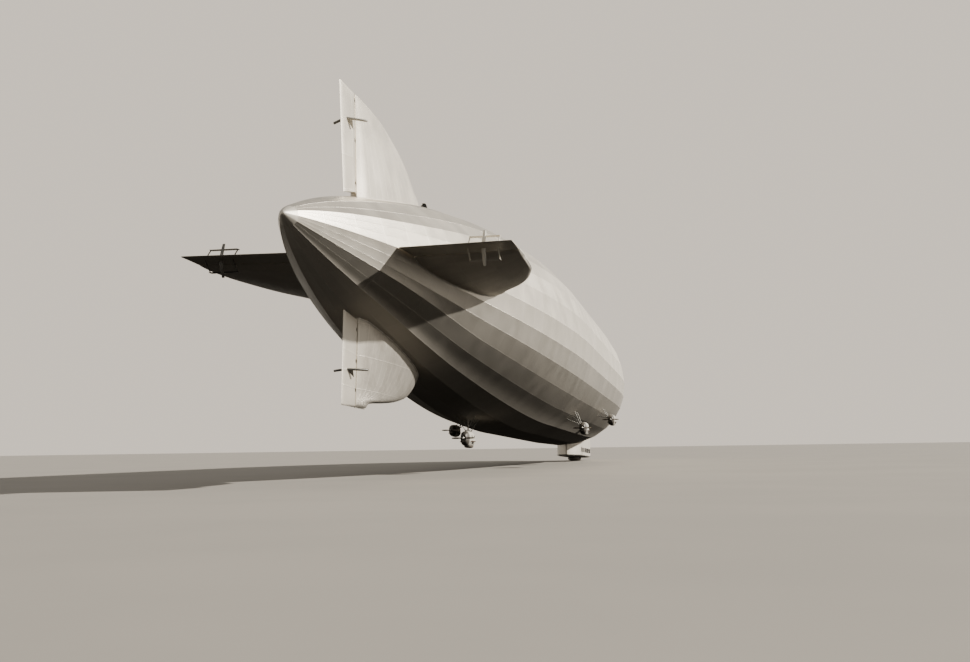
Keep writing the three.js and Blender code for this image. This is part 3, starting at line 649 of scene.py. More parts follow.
def make_panel_group() -> bpy.types.NodeTree:
    """Cloth panels between frames and longitudinals: a tone for each, and the tapes over their seams.

    Returns:
        The node group.
    """
    inputs = {"Chart": VECTOR, "Bay": FLOAT, "Strip": FLOAT, "Tape": FLOAT}
    graph, given, end = new_group("cloth_panels", inputs, ("Tone", "Seam"))
    cell = graph.add("ShaderNodeCombineXYZ")
    masks = []
    for corner, share, size in zip(cell.inputs, graph.split(given["Chart"]), (given["Bay"], given["Strip"])):
        place = graph.math("DIVIDE", share, size)
        graph.feed(corner, graph.math("FLOOR", place))
        within = graph.math("FRACT", place)
        near = graph.times(graph.math("MINIMUM", within, graph.math("SUBTRACT", 1.0, within)), size)
        masks.append(graph.step(near, given["Tape"], graph.times(given["Tape"], TAPE_FADE), 1.0, 0.0))
    noise = graph.add("ShaderNodeTexWhiteNoise", noise_dimensions="3D")
    tone = graph.fill(noise, {"Vector": cell.outputs[0]})["Value"]
    graph.fill(end, {"Tone": tone, "Seam": graph.math("MAXIMUM", *masks)})
    return graph.tree


def make_weather_group() -> bpy.types.NodeTree:
    """Cloudy dirt with streaks that run down the surface.

    Returns:
        The node group.
    """
    graph, given, end = new_group("weather", {"Place": VECTOR, "Size": FLOAT, "Cover": FLOAT}, ("Dirt", "Streak"))
    cloud_scale, speck_scale, streak_scale = (graph.math("DIVIDE", count, given["Size"]) for count in (1.0, 7.0, 0.6))
    cloud = graph.noise(given["Place"], cloud_scale, detail=5.0, roughness=0.62)
    speck = graph.noise(given["Place"], speck_scale, detail=4.0, roughness=0.6)
    streak = graph.noise(graph.stretched(given["Place"], (9.0, 9.0, 1.1)), streak_scale, roughness=0.55)
    mixed = graph.plus(graph.times(cloud, 0.72), graph.times(speck, 0.28))
    edge = graph.math("SUBTRACT", 0.72, graph.times(given["Cover"], 0.34))
    dirt = graph.step(mixed, edge, graph.plus(edge, 0.2))
    graph.fill(end, {"Dirt": dirt, "Streak": graph.step(streak, 0.5, 0.78)})
    return graph.tree


def make_weave_group() -> bpy.types.NodeTree:
    """Fine crossed threads under a thick dope, as a height.

    Returns:
        The node group.
    """
    graph, given, end = new_group("weave", {"Place": VECTOR, "Pitch": FLOAT}, ("Height",))
    scale = graph.math("DIVIDE", WAVE_SCALE, given["Pitch"])
    first, *others = (graph.wave(given["Place"], axis, scale, 0.6) for axis in ("X", "Y", "Z"))
    graph.fill(end, {"Height": graph.math("MAXIMUM", first, graph.math("MAXIMUM", *others))})
    return graph.tree


def make_brushed_group() -> bpy.types.NodeTree:
    """Rolled and brushed metal: fine lines along it, dents and worn patches.

    Returns:
        The node group.
    """
    graph, given, end = new_group("brushed", {"Place": VECTOR}, ("Line", "Dent", "Worn"))
    line = graph.noise(graph.stretched(given["Place"], (14.0, 420.0, 420.0)), 1.0, detail=2.0)
    dent = graph.noise(given["Place"], 9.0, detail=2.0)
    worn = graph.noise(given["Place"], 22.0, detail=6.0, roughness=0.7)
    graph.fill(end, {"Line": line, "Dent": dent, "Worn": graph.step(worn, 0.52, 0.68)})
    return graph.tree


@dataclass
class Groups:
    """Node groups that the finishes share."""

    panels: bpy.types.NodeTree = field(default_factory=make_panel_group)
    weather: bpy.types.NodeTree = field(default_factory=make_weather_group)
    weave: bpy.types.NodeTree = field(default_factory=make_weave_group)
    brushed: bpy.types.NodeTree = field(default_factory=make_brushed_group)


def start_paint(name: str) -> tuple[Paint, Graph, bpy.types.Node, Socket]:
    """Starts a material.

    Args:
        name: The material's name.

    Returns:
        The material, its graph, its surface shader, and the object coordinates.
    """
    paint = bpy.data.materials.new(name)
    paint.use_nodes = True
    graph = Graph(paint.node_tree)
    shader = next(node for node in graph.tree.nodes if node.type == "BSDF_PRINCIPLED")
    place = graph.add("ShaderNodeTexCoord").outputs["Object"]
    return paint, graph, shader, place


@dataclass(frozen=True)
class DopedCloth:
    """Cloth stretched over a frame and doped with aluminium pigment."""

    name: str
    base: Colour = (0.76, 0.70, 0.60)
    patch: Colour = (0.69, 0.635, 0.54)
    tape: Colour = (0.78, 0.72, 0.62)
    tape_share: float = 0.5
    tape_half: float = 0.007
    bay: float = 0.5
    strip: float = 1.0
    dirt: Colour = (0.24, 0.2, 0.155)
    stain_size: float = 0.5
    stain_cover: float = 0.35
    stain_share: float = 0.1
    streak_share: float = 0.03
    metal: float = 0.85
    dull_metal: float = 0.1
    roughness: float = 0.42
    dull_roughness: float = 0.3
    seam_height: float = 0.5
    thread_height: float = 0.12
    thread_pitch: float = 0.0016
    relief: float = 0.0012
    # Painted shade: a dark colour laid over the cover's underside, its share, and the heights round the hull where it
    # fades in.
    painted_underside_shade: Colour = (0.1, 0.085, 0.066)
    painted_underside_shade_share: float = 0.0
    painted_underside_shade_reach: Pair = (-0.9, -0.23)
    dull_reach: Pair = (-0.93, -0.77)
    bow_reach: Pair = (3.0, 9.5)
    stern_reach: Pair = (-11.0, -7.0)

    def underside(self, graph: Graph, place: Socket) -> tuple[Socket, Socket]:
        """Works out where painted shade darkens the underside, which is less towards the bow and the stern.

        Args:
            graph: The material's graph.
            place: Object coordinates.

        Returns:
            The shares of painted shade and of dullness.
        """
        along, across, up = graph.split(place)
        squares = graph.plus(graph.times(across, across), graph.times(up, up))
        around = graph.math("DIVIDE", up, graph.math("SQRT", squares))
        bow = graph.step(along, *self.bow_reach, 1.0, 0.3)
        stern = graph.step(along, *self.stern_reach, 0.35, 1.0)
        underside_shade_amount = graph.step(around, *self.painted_underside_shade_reach, self.painted_underside_shade_share, 0.0)
        return graph.times(underside_shade_amount, graph.times(bow, stern)), graph.step(around, *self.dull_reach, 1.0, 0.0)

    def build(self, groups: Groups) -> Paint:
        """Returns the finished material.

        Args:
            groups: Node groups that finishes share.

        Returns:
            The material.
        """
        paint, graph, shader, place = start_paint(self.name)
        panels = graph.group(
            groups.panels, Chart=graph.chart(), Bay=self.bay, Strip=self.strip, Tape=self.tape_half
        )
        weather = graph.group(groups.weather, Place=place, Size=self.stain_size, Cover=self.stain_cover)
        weave = graph.group(groups.weave, Place=place, Pitch=self.thread_pitch)
        colour = graph.layered(
            graph.tint(panels["Tone"], self.base, self.patch), (panels["Seam"], self.tape_share, self.tape),
            (weather["Dirt"], self.stain_share, self.dirt), (weather["Streak"], self.streak_share, self.dirt)
        )
        metal = self.metal
        rough = graph.step(graph.noise(place, 3.0), 0.3, 0.7, self.roughness - 0.02, self.roughness + 0.04)
        if self.painted_underside_shade_share:
            underside_shade_amount, dull = self.underside(graph, place)
            # Painted shade: the colour darkens towards the bottom of the hull, less towards the bow and the stern.
            colour = graph.tint(underside_shade_amount, colour, self.painted_underside_shade)
            metal = graph.step(dull, 0.0, 1.0, self.metal, self.dull_metal)
            rough = graph.plus(rough, graph.times(dull, self.dull_roughness))
        threads = graph.times(weave["Height"], self.thread_height)
        height = graph.plus(graph.times(panels["Seam"], self.seam_height), threads)
        normal = graph.bump(height, self.relief)
        graph.fill(shader, {"Base Color": colour, "Metallic": metal, "Roughness": rough, "Normal": normal})
        return paint


@dataclass(frozen=True)
class SheetMetal:
    """Rolled sheet, bare or painted, with brushed lines, dents and worn patches, and painted shade over its rear end
    where asked.
    """

    name: str
    base: Colour
    worn: Colour
    metal: float
    roughness: float
    wear: float = 0.4
    dirt: Colour = (0.06, 0.05, 0.04)
    dirt_share: float = 0.3
    dirt_size: float = 0.16
    line_height: float = 0.1
    relief: float = 0.0012
    # Painted shade: how far from the rear end the sheet is darkened, and how dark.
    painted_rear_shade_length: float = 0.0
    painted_rear_shade_share: float = 0.94

    def build(self, groups: Groups) -> Paint:
        """Returns the finished material.

        Args:
            groups: Node groups that finishes share.

        Returns:
            The material.
        """
        paint, graph, shader, place = start_paint(self.name)
        brushed = graph.group(groups.brushed, Place=place)
        weather = graph.group(groups.weather, Place=place, Size=self.dirt_size, Cover=0.5)
        colour = graph.layered(
            self.base, (brushed["Worn"], self.wear, self.worn), (weather["Dirt"], self.dirt_share, self.dirt)
        )
        # Painted shade: the rear end is darkened with the dirt colour, fading out forward.
        if self.painted_rear_shade_length:
            along = graph.split(graph.chart())["X"]
            painted_rear_shade = graph.step(along, self.painted_rear_shade_length * 0.5, self.painted_rear_shade_length, self.painted_rear_shade_share, 0.0)
            colour = graph.tint(painted_rear_shade, colour, self.dirt)
        rough = graph.step(brushed["Line"], 0.25, 0.75, self.roughness - 0.08, self.roughness + 0.12)
        normal = graph.bump(graph.plus(graph.times(brushed["Line"], self.line_height), brushed["Dent"]), self.relief)
        graph.fill(shader, {"Base Color": colour, "Metallic": self.metal, "Roughness": rough, "Normal": normal})
        return paint


@dataclass(frozen=True)
class Wood:
    """Varnished wood in glued layers."""

    name: str
    base: Colour
    dark: Colour
    layer: float = 0.006
    grain_share: float = 0.65
    dirt_share: float = 0.35
    coat: float = 0.4
    relief: float = 0.0003

    def build(self, groups: Groups) -> Paint:
        """Returns the finished material.

        Args:
            groups: Node groups that finishes share.

        Returns:
            The material.
        """
        paint, graph, shader, place = start_paint(self.name)
        weather = graph.group(groups.weather, Place=place, Size=0.08, Cover=0.4)
        grain = graph.noise(graph.stretched(place, (160.0, 7.0, 160.0)), 1.0, detail=4.0, roughness=0.65)
        layers = graph.wave(place, "X", WAVE_SCALE / self.layer, 1.2)
        share = graph.plus(graph.times(grain, self.grain_share), graph.times(layers, 1 - self.grain_share))
        colour = graph.tint(graph.step(share, 0.3, 0.75), self.dark, self.base)
        graph.fill(shader, {
            "Base Color": graph.layered(colour, (weather["Dirt"], self.dirt_share, self.dark)),
            "Roughness": graph.step(grain, 0.3, 0.8, 0.28, 0.46),
            "Coat Weight": self.coat,
            "Normal": graph.bump(grain, self.relief),
        })
        return paint


@dataclass(frozen=True)
class Canvas:
    """Rubbered canvas, scuffed and dusty."""

    name: str
    base: Colour
    dust: Colour = (0.3, 0.26, 0.2)
    dust_share: float = 0.5
    thread_pitch: float = 0.0022
    relief: float = 0.0004

    def build(self, groups: Groups) -> Paint:
        """Returns the finished material.

        Args:
            groups: Node groups that finishes share.

        Returns:
            The material.
        """
        paint, graph, shader, place = start_paint(self.name)
        dust = graph.group(groups.weather, Place=place, Size=0.12, Cover=0.75)["Dirt"]
        weave = graph.group(groups.weave, Place=place, Pitch=self.thread_pitch)
        graph.fill(shader, {
            "Base Color": graph.layered(self.base, (dust, self.dust_share, self.dust)),
            "Roughness": graph.step(dust, 0.0, 1.0, 0.6, 0.9),
            "Normal": graph.bump(weave["Height"], self.relief),
        })
        return paint


@dataclass(frozen=True)
class Glass:
    """Clear window glass with a little dust."""

    name: str
    clear: Colour = (0.9, 0.92, 0.9)
    dust: Colour = (0.62, 0.58, 0.5)
    dust_share: float = 0.25

    def build(self, groups: Groups) -> Paint:
        """Returns the finished material.

        Args:
            groups: Node groups that finishes share.

        Returns:
            The material.
        """
        paint, graph, shader, place = start_paint(self.name)
        dust = graph.group(groups.weather, Place=place, Size=0.1, Cover=0.5)["Dirt"]
        graph.fill(shader, {
            "Base Color": graph.layered(self.clear, (dust, self.dust_share, self.dust)),
            "Roughness": graph.step(dust, 0.0, 1.0, 0.03, 0.14),
            "Transmission Weight": 1.0,
            "IOR": 1.45,
        })
        return paint


@dataclass
class Paints:
    """All finishes of the airship, made once."""

    groups: Groups = field(default_factory=Groups)
    made: dict[str, Paint] = field(default_factory=dict)

    def finishes(self) -> dict[str, object]:
        """Returns the recipe of each finish by its short name.

        Returns:
            Recipes by short name.
        """
        fin = {"bay": 0.34, "strip": 0.16, "tape_half": 0.004, "metal": 0.7}
        sheet = {"base": (0.6, 0.56, 0.48), "worn": (0.68, 0.64, 0.56), "metal": 0.3, "roughness": 0.52}
        return {
            # The cover's underside carries painted shade.
            "cover": DopedCloth("doped_cloth_cover", painted_underside_shade_share=0.76),
            "fin": DopedCloth("doped_cloth_fin", stain_share=0.06, **fin),
            # Painted shade: a darker copy of the fin cloth for the lower fin, its base and patch colours lowered for
            # the weaker light on that fin; its heavier stains are real dirt.
            "lower_fin": DopedCloth(
                "doped_cloth_shaded_lower_fin", base=(0.6, 0.55, 0.47), patch=(0.55, 0.505, 0.43), stain_size=0.34,
                stain_cover=0.8, stain_share=0.3, **fin
            ),
            "cabin_skin": DopedCloth(
                "doped_cloth_gondola", bay=0.17, tape_half=0.003, stain_size=0.3, stain_share=0.25, metal=0.55
            ),
            "rim": SheetMetal("edge_band", (0.8, 0.75, 0.65), (0.68, 0.63, 0.54), 0.2, 0.45),
            "cap": SheetMetal("cap_sheet", (0.74, 0.69, 0.59), (0.8, 0.75, 0.66), 0.5, 0.5),
            # The nacelle's rear end carries painted shade.
            "nacelle": SheetMetal("nacelle_sheet", painted_rear_shade_length=0.16, **sheet),
            "panel": SheetMetal("panel_sheet", **sheet),
            # Painted light: a lighter grey copy of the arm paint, used on the upper rudder's arms.
            "arm": SheetMetal("arm_sheet_painted_light", (0.34, 0.32, 0.28), (0.44, 0.41, 0.36), 0.3, 0.5),
            "steel": SheetMetal("painted_steel", (0.2, 0.19, 0.17), (0.36, 0.34, 0.3), 0.6, 0.42, 0.6),
            "iron": SheetMetal("engine_iron", (0.05, 0.05, 0.048), (0.14, 0.13, 0.12), 0.5, 0.5, 0.6),
            "exhaust": SheetMetal("burnt_steel", (0.1, 0.055, 0.035), (0.2, 0.12, 0.08), 0.7, 0.55, 0.8),
            "brass": SheetMetal("brass_sheath", (0.3, 0.26, 0.2), (0.4, 0.35, 0.27), 0.9, 0.4, 0.5),
            "frame": SheetMetal("window_frame", (0.12, 0.11, 0.1), (0.3, 0.28, 0.25), 0.4, 0.4, 0.5),
            "propeller": Wood("propeller_layers", (0.1, 0.068, 0.044), (0.04, 0.026, 0.017)),
            "cabin": Wood("cabin_veneer", (0.3, 0.19, 0.1), (0.17, 0.1, 0.05), 0.05),
            "bumper": Canvas("bumper_canvas", (0.085, 0.07, 0.055)),
            "strap": Canvas("bumper_strap", (0.17, 0.125, 0.08), dust_share=0.3),
            "glass": Glass("window_pane"),
        }

    def __post_init__(self) -> None:
        """Builds every material."""
        for key, finish in self.finishes().items():
            self.made[key] = finish.build(self.groups)

    def __getitem__(self, key: str) -> Paint:
        """Returns a material by its short name."""
        return self.made[key]


# Hull


@dataclass(frozen=True)
class HullForm:
    """Curve of the hull, and the directions of its longitudinals."""

    length: float = 23.66
    radius: float = 1.525
    buoyancy: float = 12.9
    stern_run: float = 10.62
    stern_swell: float = 1.833
    stern_power: float = 0.776
    bow_run: float = 7.48
    bow_swell: float = 2.266
    bow_power: float = 0.5
    stern_full: float = 1.5
    stern_gone: float = 4.5

    def longitudinals(self) -> list[tuple[float, tuple[float, float, float]]]:
        """Returns each corner of one quarter in degrees, and where it lies at the stern.

        At the stern a corner is on the chord between two directions, at a share of the way.

        Returns:
            An angle with its two directions and share for each corner.
        """
        return [
            (0, (0, 0, 0)), (12.5, (0, 31, 0.36)), (24, (0, 31, 0.72)), (36, (31, 31, 0)), (48, (31, 60, 0.5)),
            (62, (60, 60, 0)), (76, (60, 90, 0.5))
        ]

    def along(self, station: float) -> float:
        """Returns the place on X of a station."""
        return station - self.buoyancy

    def radius_at(self, station: float) -> float:
        """Returns the distance of the corners from the axis.

        Args:
            station: Place along the hull.

        Returns:
            The radius there.
        """
        stern = 1 - min(station / self.stern_run, 1)
        bow = 1 - min((self.length - station) / self.bow_run, 1)
        return (
            self.radius * (1 - stern**self.stern_swell) ** self.stern_power
            * max(1 - bow**self.bow_swell, 0) ** self.bow_power
        )

    def corners(self, station: float) -> list[Vector]:
        """Returns the corners' directions from starboard round over the top, as points on or in a unit circle.

        Args:
            station: Place along the hull.

        Returns:
            One point for each corner.
        """
        share = 1 - smoothstep(station, self.stern_full, self.stern_gone)

        def unit(degrees: float) -> Vector:
            """Returns a direction as a point on the unit circle."""
            return Vector((math.cos(math.radians(degrees)), math.sin(math.radians(degrees))))

        quarter = [
            unit(angle).lerp(unit(start).lerp(unit(end), part), share)
            for angle, (start, end, part) in self.longitudinals()
        ]
        half = [*quarter, Vector((0, 1)), *(Vector((-p.x, p.y)) for p in reversed(quarter[1:]))]
        return [*half, *(-p for p in half)]

    def ring(
        self, station: float, offset: float = 0.0, splits: int = 1, sag: float = 0.0, rounding: float = 0.0
    ) -> Ring:
        """Returns a ring of the hull.

        Args:
            station: Where it is.
            offset: How far it stands out from the hull.
            splits: Steps from one corner to the next.
            sag: How far the cloth dips in the middle of each facet.
            rounding: 0 for flat facets, 1 for a round section.

        Returns:
            Its points, counted from port over the top.
        """
        reach = 5 * MM
        inner = min(station + reach, self.length)
        slope = (self.radius_at(inner) - self.radius_at(station - reach)) / (inner - station + reach)
        radius = self.radius_at(station) + offset * min(math.hypot(1, slope), 3.0)
        corners = self.corners(station)
        points = []
        for start, end in zip(corners, [*corners[1:], corners[0]]):
            for step in range(splits):
                share = step / splits
                flat = start.lerp(end, share)
                size = lerp(flat.length, 1.0, rounding) / flat.length
                size *= 1 - sag * 4 * share * (1 - share) / radius
                points.append(Vector((self.along(station), flat.x * size * radius, flat.y * size * radius)))
        return points

    def span_at(self, station: float, turn: float, thick: float) -> float:
        """Returns how far out the hull's surface is on a line beside a fin's middle plane.

        Args:
            station: Where along the hull.
            turn: Direction of the fin in degrees.
            thick: Sideways distance from its middle plane.

        Returns:
            The span of the hull's surface there.
        """
        radius = self.radius_at(station)
        cos, sin = math.cos(math.radians(turn)), math.sin(math.radians(turn))
        turned = [Vector((p.x * cos + p.y * sin, p.y * cos - p.x * sin)) * radius for p in self.corners(station)]
        for start, end in zip(turned, [*turned[1:], turned[0]]):
            low, high = sorted((start.y, end.y))
            if low <= thick <= high and max(start.x, end.x) > 0:
                share = (thick - start.y) / (end.y - start.y) if end.y != start.y else 0.0
                return lerp(start.x, end.x, share)
        return radius


HULL = HullForm()


def hull_cutter(offset: float, first: float, last: float) -> Piece:
    """Returns a solid of the hull between two stations, to cut what stands on it.

    Args:
        offset: How far the solid stands out from the hull.
        first: Station where it starts.
        last: Station where it ends.

    Returns:
        The solid.
    """
    steps = 24
    stations = [lerp(first, last, step / steps) for step in range(steps + 1)]
    return loft("hull_cutter", [HULL.ring(station, offset) for station in stations])


@dataclass(frozen=True)
class Envelope:
    """Cover of the hull, with its caps and the ventilator hood."""

    cover_start: float = 0.15
    cover_end: float = 23.35
    frame_spacing: float = 0.5
    bay_steps: int = 4
    splits: int = 4
    sag: float = 3.0 * MM
    cap_lap: float = 1.5 * MM
    skirt: float = 0.012
    cap_bands: tuple[float, ...] = (0.0, 0.3, 0.58, 0.82)
    spindle_radius: float = 0.032
    spindle_form: tuple[Pair, ...] = (
        (23.56, 1.0), (23.665, 1.0), (23.668, 0.82), (23.676, 0.78), (23.68, 0.6), (23.695, 0.56), (23.705, 0.66),
        (23.715, 0.6), (23.72, 0.4)
    )
    tail_form: tuple[Pair, ...] = (
        (0.012, 0.55), (0.014, 0.8), (0.02, 0.95), (0.034, 1), (0.055, 1), (0.085, 1), (0.12, 1), (0.15, 1), (0.16, 1)
    )
    hood_form: tuple[tuple[float, float, float], ...] = (
        (0.0, 1.0, 1.0), (0.02, 1.0, 1.0), (0.3, 1.0, 0.98), (0.6, 0.95, 0.9), (0.85, 0.8, 0.62), (1.0, 0.5, 0.2)
    )
    mouth_share: float = 0.78

    def build(self, paints: Paints) -> None:
        """Makes and dresses the pieces.

        Args:
            paints: All finishes.
        """
        self.make_cover(paints)
        self.make_nose(paints)
        self.make_tail(paints)
        self.make_hood(paints)

    def make_cover(self, paints: Paints) -> None:
        """Cloth cover: flat facets that dip a little between the frames.

        Args:
            paints: All finishes.
        """
        count = int(self.cover_end / self.frame_spacing)
        frames = [self.cover_start, *(at * self.frame_spacing for at in range(1, count + 1)), self.cover_end]
        rings = []
        along = []
        for start, end in zip(frames, frames[1:]):
            for step in range(self.bay_steps):
                share = step / self.bay_steps
                station = lerp(start, end, share)
                dip = self.sag * 4 * share * (1 - share) * min(HULL.radius_at(station), 1.0)
                rings.append(HULL.ring(station, splits=self.splits, sag=dip))
                along.append(station)
        rings.append(HULL.ring(self.cover_end, splits=self.splits))
        along.append(self.cover_end)
        around = [at / self.splits for at in range(len(rings[0]) + 1)]
        cover = loft("hull_cover", rings, along, around)
        places = cover.data.attributes[PLACE].data
        for edge in cover.data.edges:
            first, second = (places[vertex].value for vertex in edge.vertices)
            edge.use_edge_sharp = first == second and first % self.splits == 0
        settle(cover, AIRSHIP, paints["cover"], ["hull_envelope"], crease=50)

    def make_nose(self, paints: Paints) -> None:
        """Metal nose cap in lapped rings, with the mooring spindle.

        Args:
            paints: All finishes.
        """
        steps = 16
        rings = []
        reach = HULL.length - 0.004 - self.cover_end
        for step in range(steps + 1):
            share = 1 - (1 - step / steps) ** 1.6
            station = self.cover_end + share * reach
            lap = self.cap_lap * (1 + sum(share < band for band in self.cap_bands) * 0.6)
            rings.append(HULL.ring(station, lap, splits=2, rounding=smoothstep(share, 0, 0.5)))
        skirt = [HULL.ring(self.cover_end - self.skirt, lap, splits=2) for lap in (-0.004, self.cap_lap * 2)]
        cap = loft("nose_cap_dome", [*skirt, *rings])
        settle(cap, AIRSHIP, paints["cap"], ["nose_cap"], crease=20)
        profile = [(HULL.along(at), full) for at, full in self.spindle_form]
        settle(turned("mooring_spindle", profile, self.spindle_radius), AIRSHIP, paints["steel"])

    def make_tail(self, paints: Paints) -> None:
        """Metal tail cap, rounded at its tip.

        Args:
            paints: All finishes.
        """
        rings = []
        for station, full in self.tail_form:
            ring = HULL.ring(station, self.cap_lap, splits=2, rounding=0.5 if station < self.cover_start else 0.0)
            rings.append([Vector((p.x, p.y * full, p.z * full)) for p in ring])
        settle(loft("tail_cap_cone", rings), AIRSHIP, paints["cap"], ["tail_cap"], crease=25)

    def make_hood(self, paints: Paints) -> None:
        """Ventilator hood on the top ridge: a low scoop, open at its rear.

        Args:
            paints: All finishes.
        """
        low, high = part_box("ventilator_hood")
        half = (high.y - low.y) / 2
        foot = low.z - 0.02
        rings = []
        for share, wide, tall in self.hood_form:
            top = lerp(HULL.radius_at(HULL.buoyancy + high.x), high.z, tall)
            arch = [
                Vector((
                    lerp(low.x, high.x, share), half * wide * signed_power(math.cos(a), 0.6),
                    max(foot, lerp(foot, top, math.sin(a) ** 0.5))
                ))
                for a in (math.pi * step / 14 for step in range(15))
            ]
            rings.append(arch)
        hood = loft("hood_scoop", rings)
        ridge = HULL.radius_at(HULL.buoyancy + low.x)
        mouth = block(
            "mouth", (low.x - 0.01, low.x + 0.03), about(0, half * self.mouth_share),
            (ridge + 0.004, high.z - 0.008), 0.006
        )
        settle(carve(hood, mouth), AIRSHIP, paints["iron"], ["ventilator_hood"])


# Fins, rudders and elevators


@dataclass(frozen=True)
class FinForm:
    """Outline of a fin, as spans and the stations of its leading edge there."""

    tip: float
    edge: tuple[Pair, ...]


CHORD_SHARES = (
    0, 0.013, 0.027, 0.045, 0.063, 0.08, 0.1, 0.13, 0.18, 0.25, 0.35, 0.45, 0.55, 0.64, 0.72, 0.79, 0.85, 0.9, 0.94,
    0.97, 0.985, 0.995, 0.999
)
LONG_FIN = FinForm(
    1.72, ((1.06, 4.51), (1.19, 4.32), (1.38, 4.055), (1.52, 3.74), (1.62, 3.35), (1.68, 3.02), (1.708, 2.48))
)
SHORT_FIN = FinForm(
    1.55, ((0.97, 4.51), (1.18, 4.29), (1.31, 4.02), (1.37, 3.735), (1.41, 3.43), (1.445, 3.01), (1.48, 2.55))
)


@dataclass(frozen=True)
class Tail:
    """One fin with its rudder or elevator.

    A pair of values is for the root and the tip, or for the foot and the head of an arm or mast. For the base it is
    at the hinge line and the trailing edge.
    """

    side: str
    surface: str
    turn: float
    form: FinForm
    steering: Steering
    hinge: float
    base: Pair
    trailing: Pair
    hinges: tuple[float, ...]
    horn_span: float
    # Painted light and shade: the paint of the arms or masts differs from fin to fin, pale on the starboard elevator,
    # grey on the upper rudder and dark steel on the port elevator and lower rudder.
    horn_paint_by_light: str
    hinge_gap: float = 0.006
    root_span: float = 0.52
    root_lead: float = 0.25
    root_cut: Pair = (1.2, 6.0)
    tip_lead: float = 0.3
    taper_from: float = 0.64
    taper_to: float = 1.72
    hinge_half: Pair = (0.034, 0.015)
    fin_half: Pair = (0.165, 0.030)
    rear_half: Pair = (0.072, 0.020)
    chamfer: float = 0.08
    crest: float = 0.45
    fin_power: float = 2.4
    tip_reach: float = 0.03
    hull_sink: float = 0.008
    strip_radius: float = 0.006
    strip_from: float = 0.65
    strip_to: float = 0.2
    rim_radius: float = 0.007
    rim_sink: float = 0.45
    rim_hidden: float = 0.03
    rim_turn: float = 0.01
    trailing_half: float = 0.004
    tip_round: float = 0.02
    lug_half: float = 0.018
    lug_radius: float = 0.011
    lug_foot: float = 0.009
    lug_sink: float = 0.01
    pin_over: float = 0.023
    notch_front: float = 0.016
    notch_reach: float = 0.15
    pin_radius: float = 0.006
    horn_inside: float = 0.008
    horn_reach: float = 0.18
    arm: Pair = (-0.23, -0.08)
    arm_half: float = 0.025
    arm_thick: float = 0.012
    gusset_out: float = 0.055
    gusset_apex: tuple[float, float, float] = (-0.02, 0.082, 0.013)
    gusset_thick: float = 0.002
    mast: Pair = (-0.155, -0.08)
    mast_half: float = 0.022
    mast_thick: float = 0.008
    plane_thick: float = 0.0028
    plane_level: float = 0.12
    plane_middle: float = -0.062
    plane_half: float = 0.1585
    plane_chord: float = 0.09
    post_foot: float = -0.19
    post_radius: float = 0.0065

    def place(self, station: float, span: float, thick: float) -> Vector:
        """Turns fin coordinates into a place on the airship."""
        cos, sin = math.cos(math.radians(self.turn)), math.sin(math.radians(self.turn))
        return Vector((HULL.along(station), span * cos - thick * sin, span * sin + thick * cos))

    def nose_half(self, span: float) -> float:
        """Returns the half thickness of the rudder or elevator at its hinge line."""
        return lerp(*self.hinge_half, (span - self.taper_from) / (self.taper_to - self.taper_from))

    def rear(self, span: float) -> float:
        """Returns the station of the fin's flat rear face."""
        return self.hinge + self.nose_half(span) + self.hinge_gap

    def outline(self) -> list[Pair]:
        """Returns the leading edge as spans and stations, from the root to the tip.

        Returns:
            A span with its station for each point.
        """
        tip = self.form.tip
        last = self.form.edge[-1][1]
        points = [
            Vector((self.root_span, self.form.edge[0][1] + self.root_lead)),
            *(Vector(point) for point in self.form.edge),
            Vector((tip - MM, lerp(last, self.rear(tip), self.tip_lead)))
        ]
        path = smooth_path(points, 5)
        return [(min(point.x, tip), point.y) for point in path] + [(tip, points[-1].y - self.tip_round)]

    def fin_half_at(self, share: float, span: float, nose: float) -> float:
        """Returns the fin's half thickness, which tapers from the hull's surface to the tip.

        Args:
            share: Place on the chord, from the rear face to the leading edge.
            span: Distance from the hull's axis.
            nose: Station of the leading edge at that span.

        Returns:
            Half of the thickness.
        """
        surface = HULL.radius_at(lerp(self.rear(span), nose, share))
        outward = min(max((span - surface) / (self.form.tip - surface), 0.0), 1.0)
        thick = lerp(*self.fin_half, outward)
        if share < self.crest:
            half = lerp(lerp(*self.rear_half, outward), thick, math.sin(math.pi / 2 * share / self.crest))
            half = lerp(self.nose_half(span), half, math.sin(math.pi / 2 * min(share / self.chamfer, 1.0)))
        else:
            half = thick * math.sqrt(max(1 - ((share - self.crest) / (1 - self.crest)) ** self.fin_power, 0.0))
        inner = self.form.tip - self.tip_reach
        if span > inner:
            half *= dome((span - inner) / self.tip_reach, 0.04)
        return half

    def make_fin(self, paint: Paint) -> Piece:
        """Cloth-covered fin, cut off just inside the hull.

        Args:
            paint: Its finish.

        Returns:
            The fin.
        """
        rings = []
        along = []
        for span, nose in self.outline():
            rows = [(lerp(self.rear(span), nose, at), self.fin_half_at(at, span, nose)) for at in CHORD_SHARES]
            upper, lower = ([self.place(at, span, face * half) for at, half in rows] for face in (1, -1))
            rings.append([*upper, self.place(nose, span, 0), *reversed(lower)])
            along.append(span)
        chord = [lerp(self.rear(1.0), self.form.edge[0][1], share) for share in CHORD_SHARES]
        around = [*chord, self.form.edge[0][1], *reversed(chord), chord[0]]
        fin = loft(f"{self.side}_fin_cloth", rings, along, around)
        carve(fin, hull_cutter(-self.hull_sink, *self.root_cut))
        return settle(fin, AIRSHIP, paint, [f"{self.side}_fin"], crease=35)

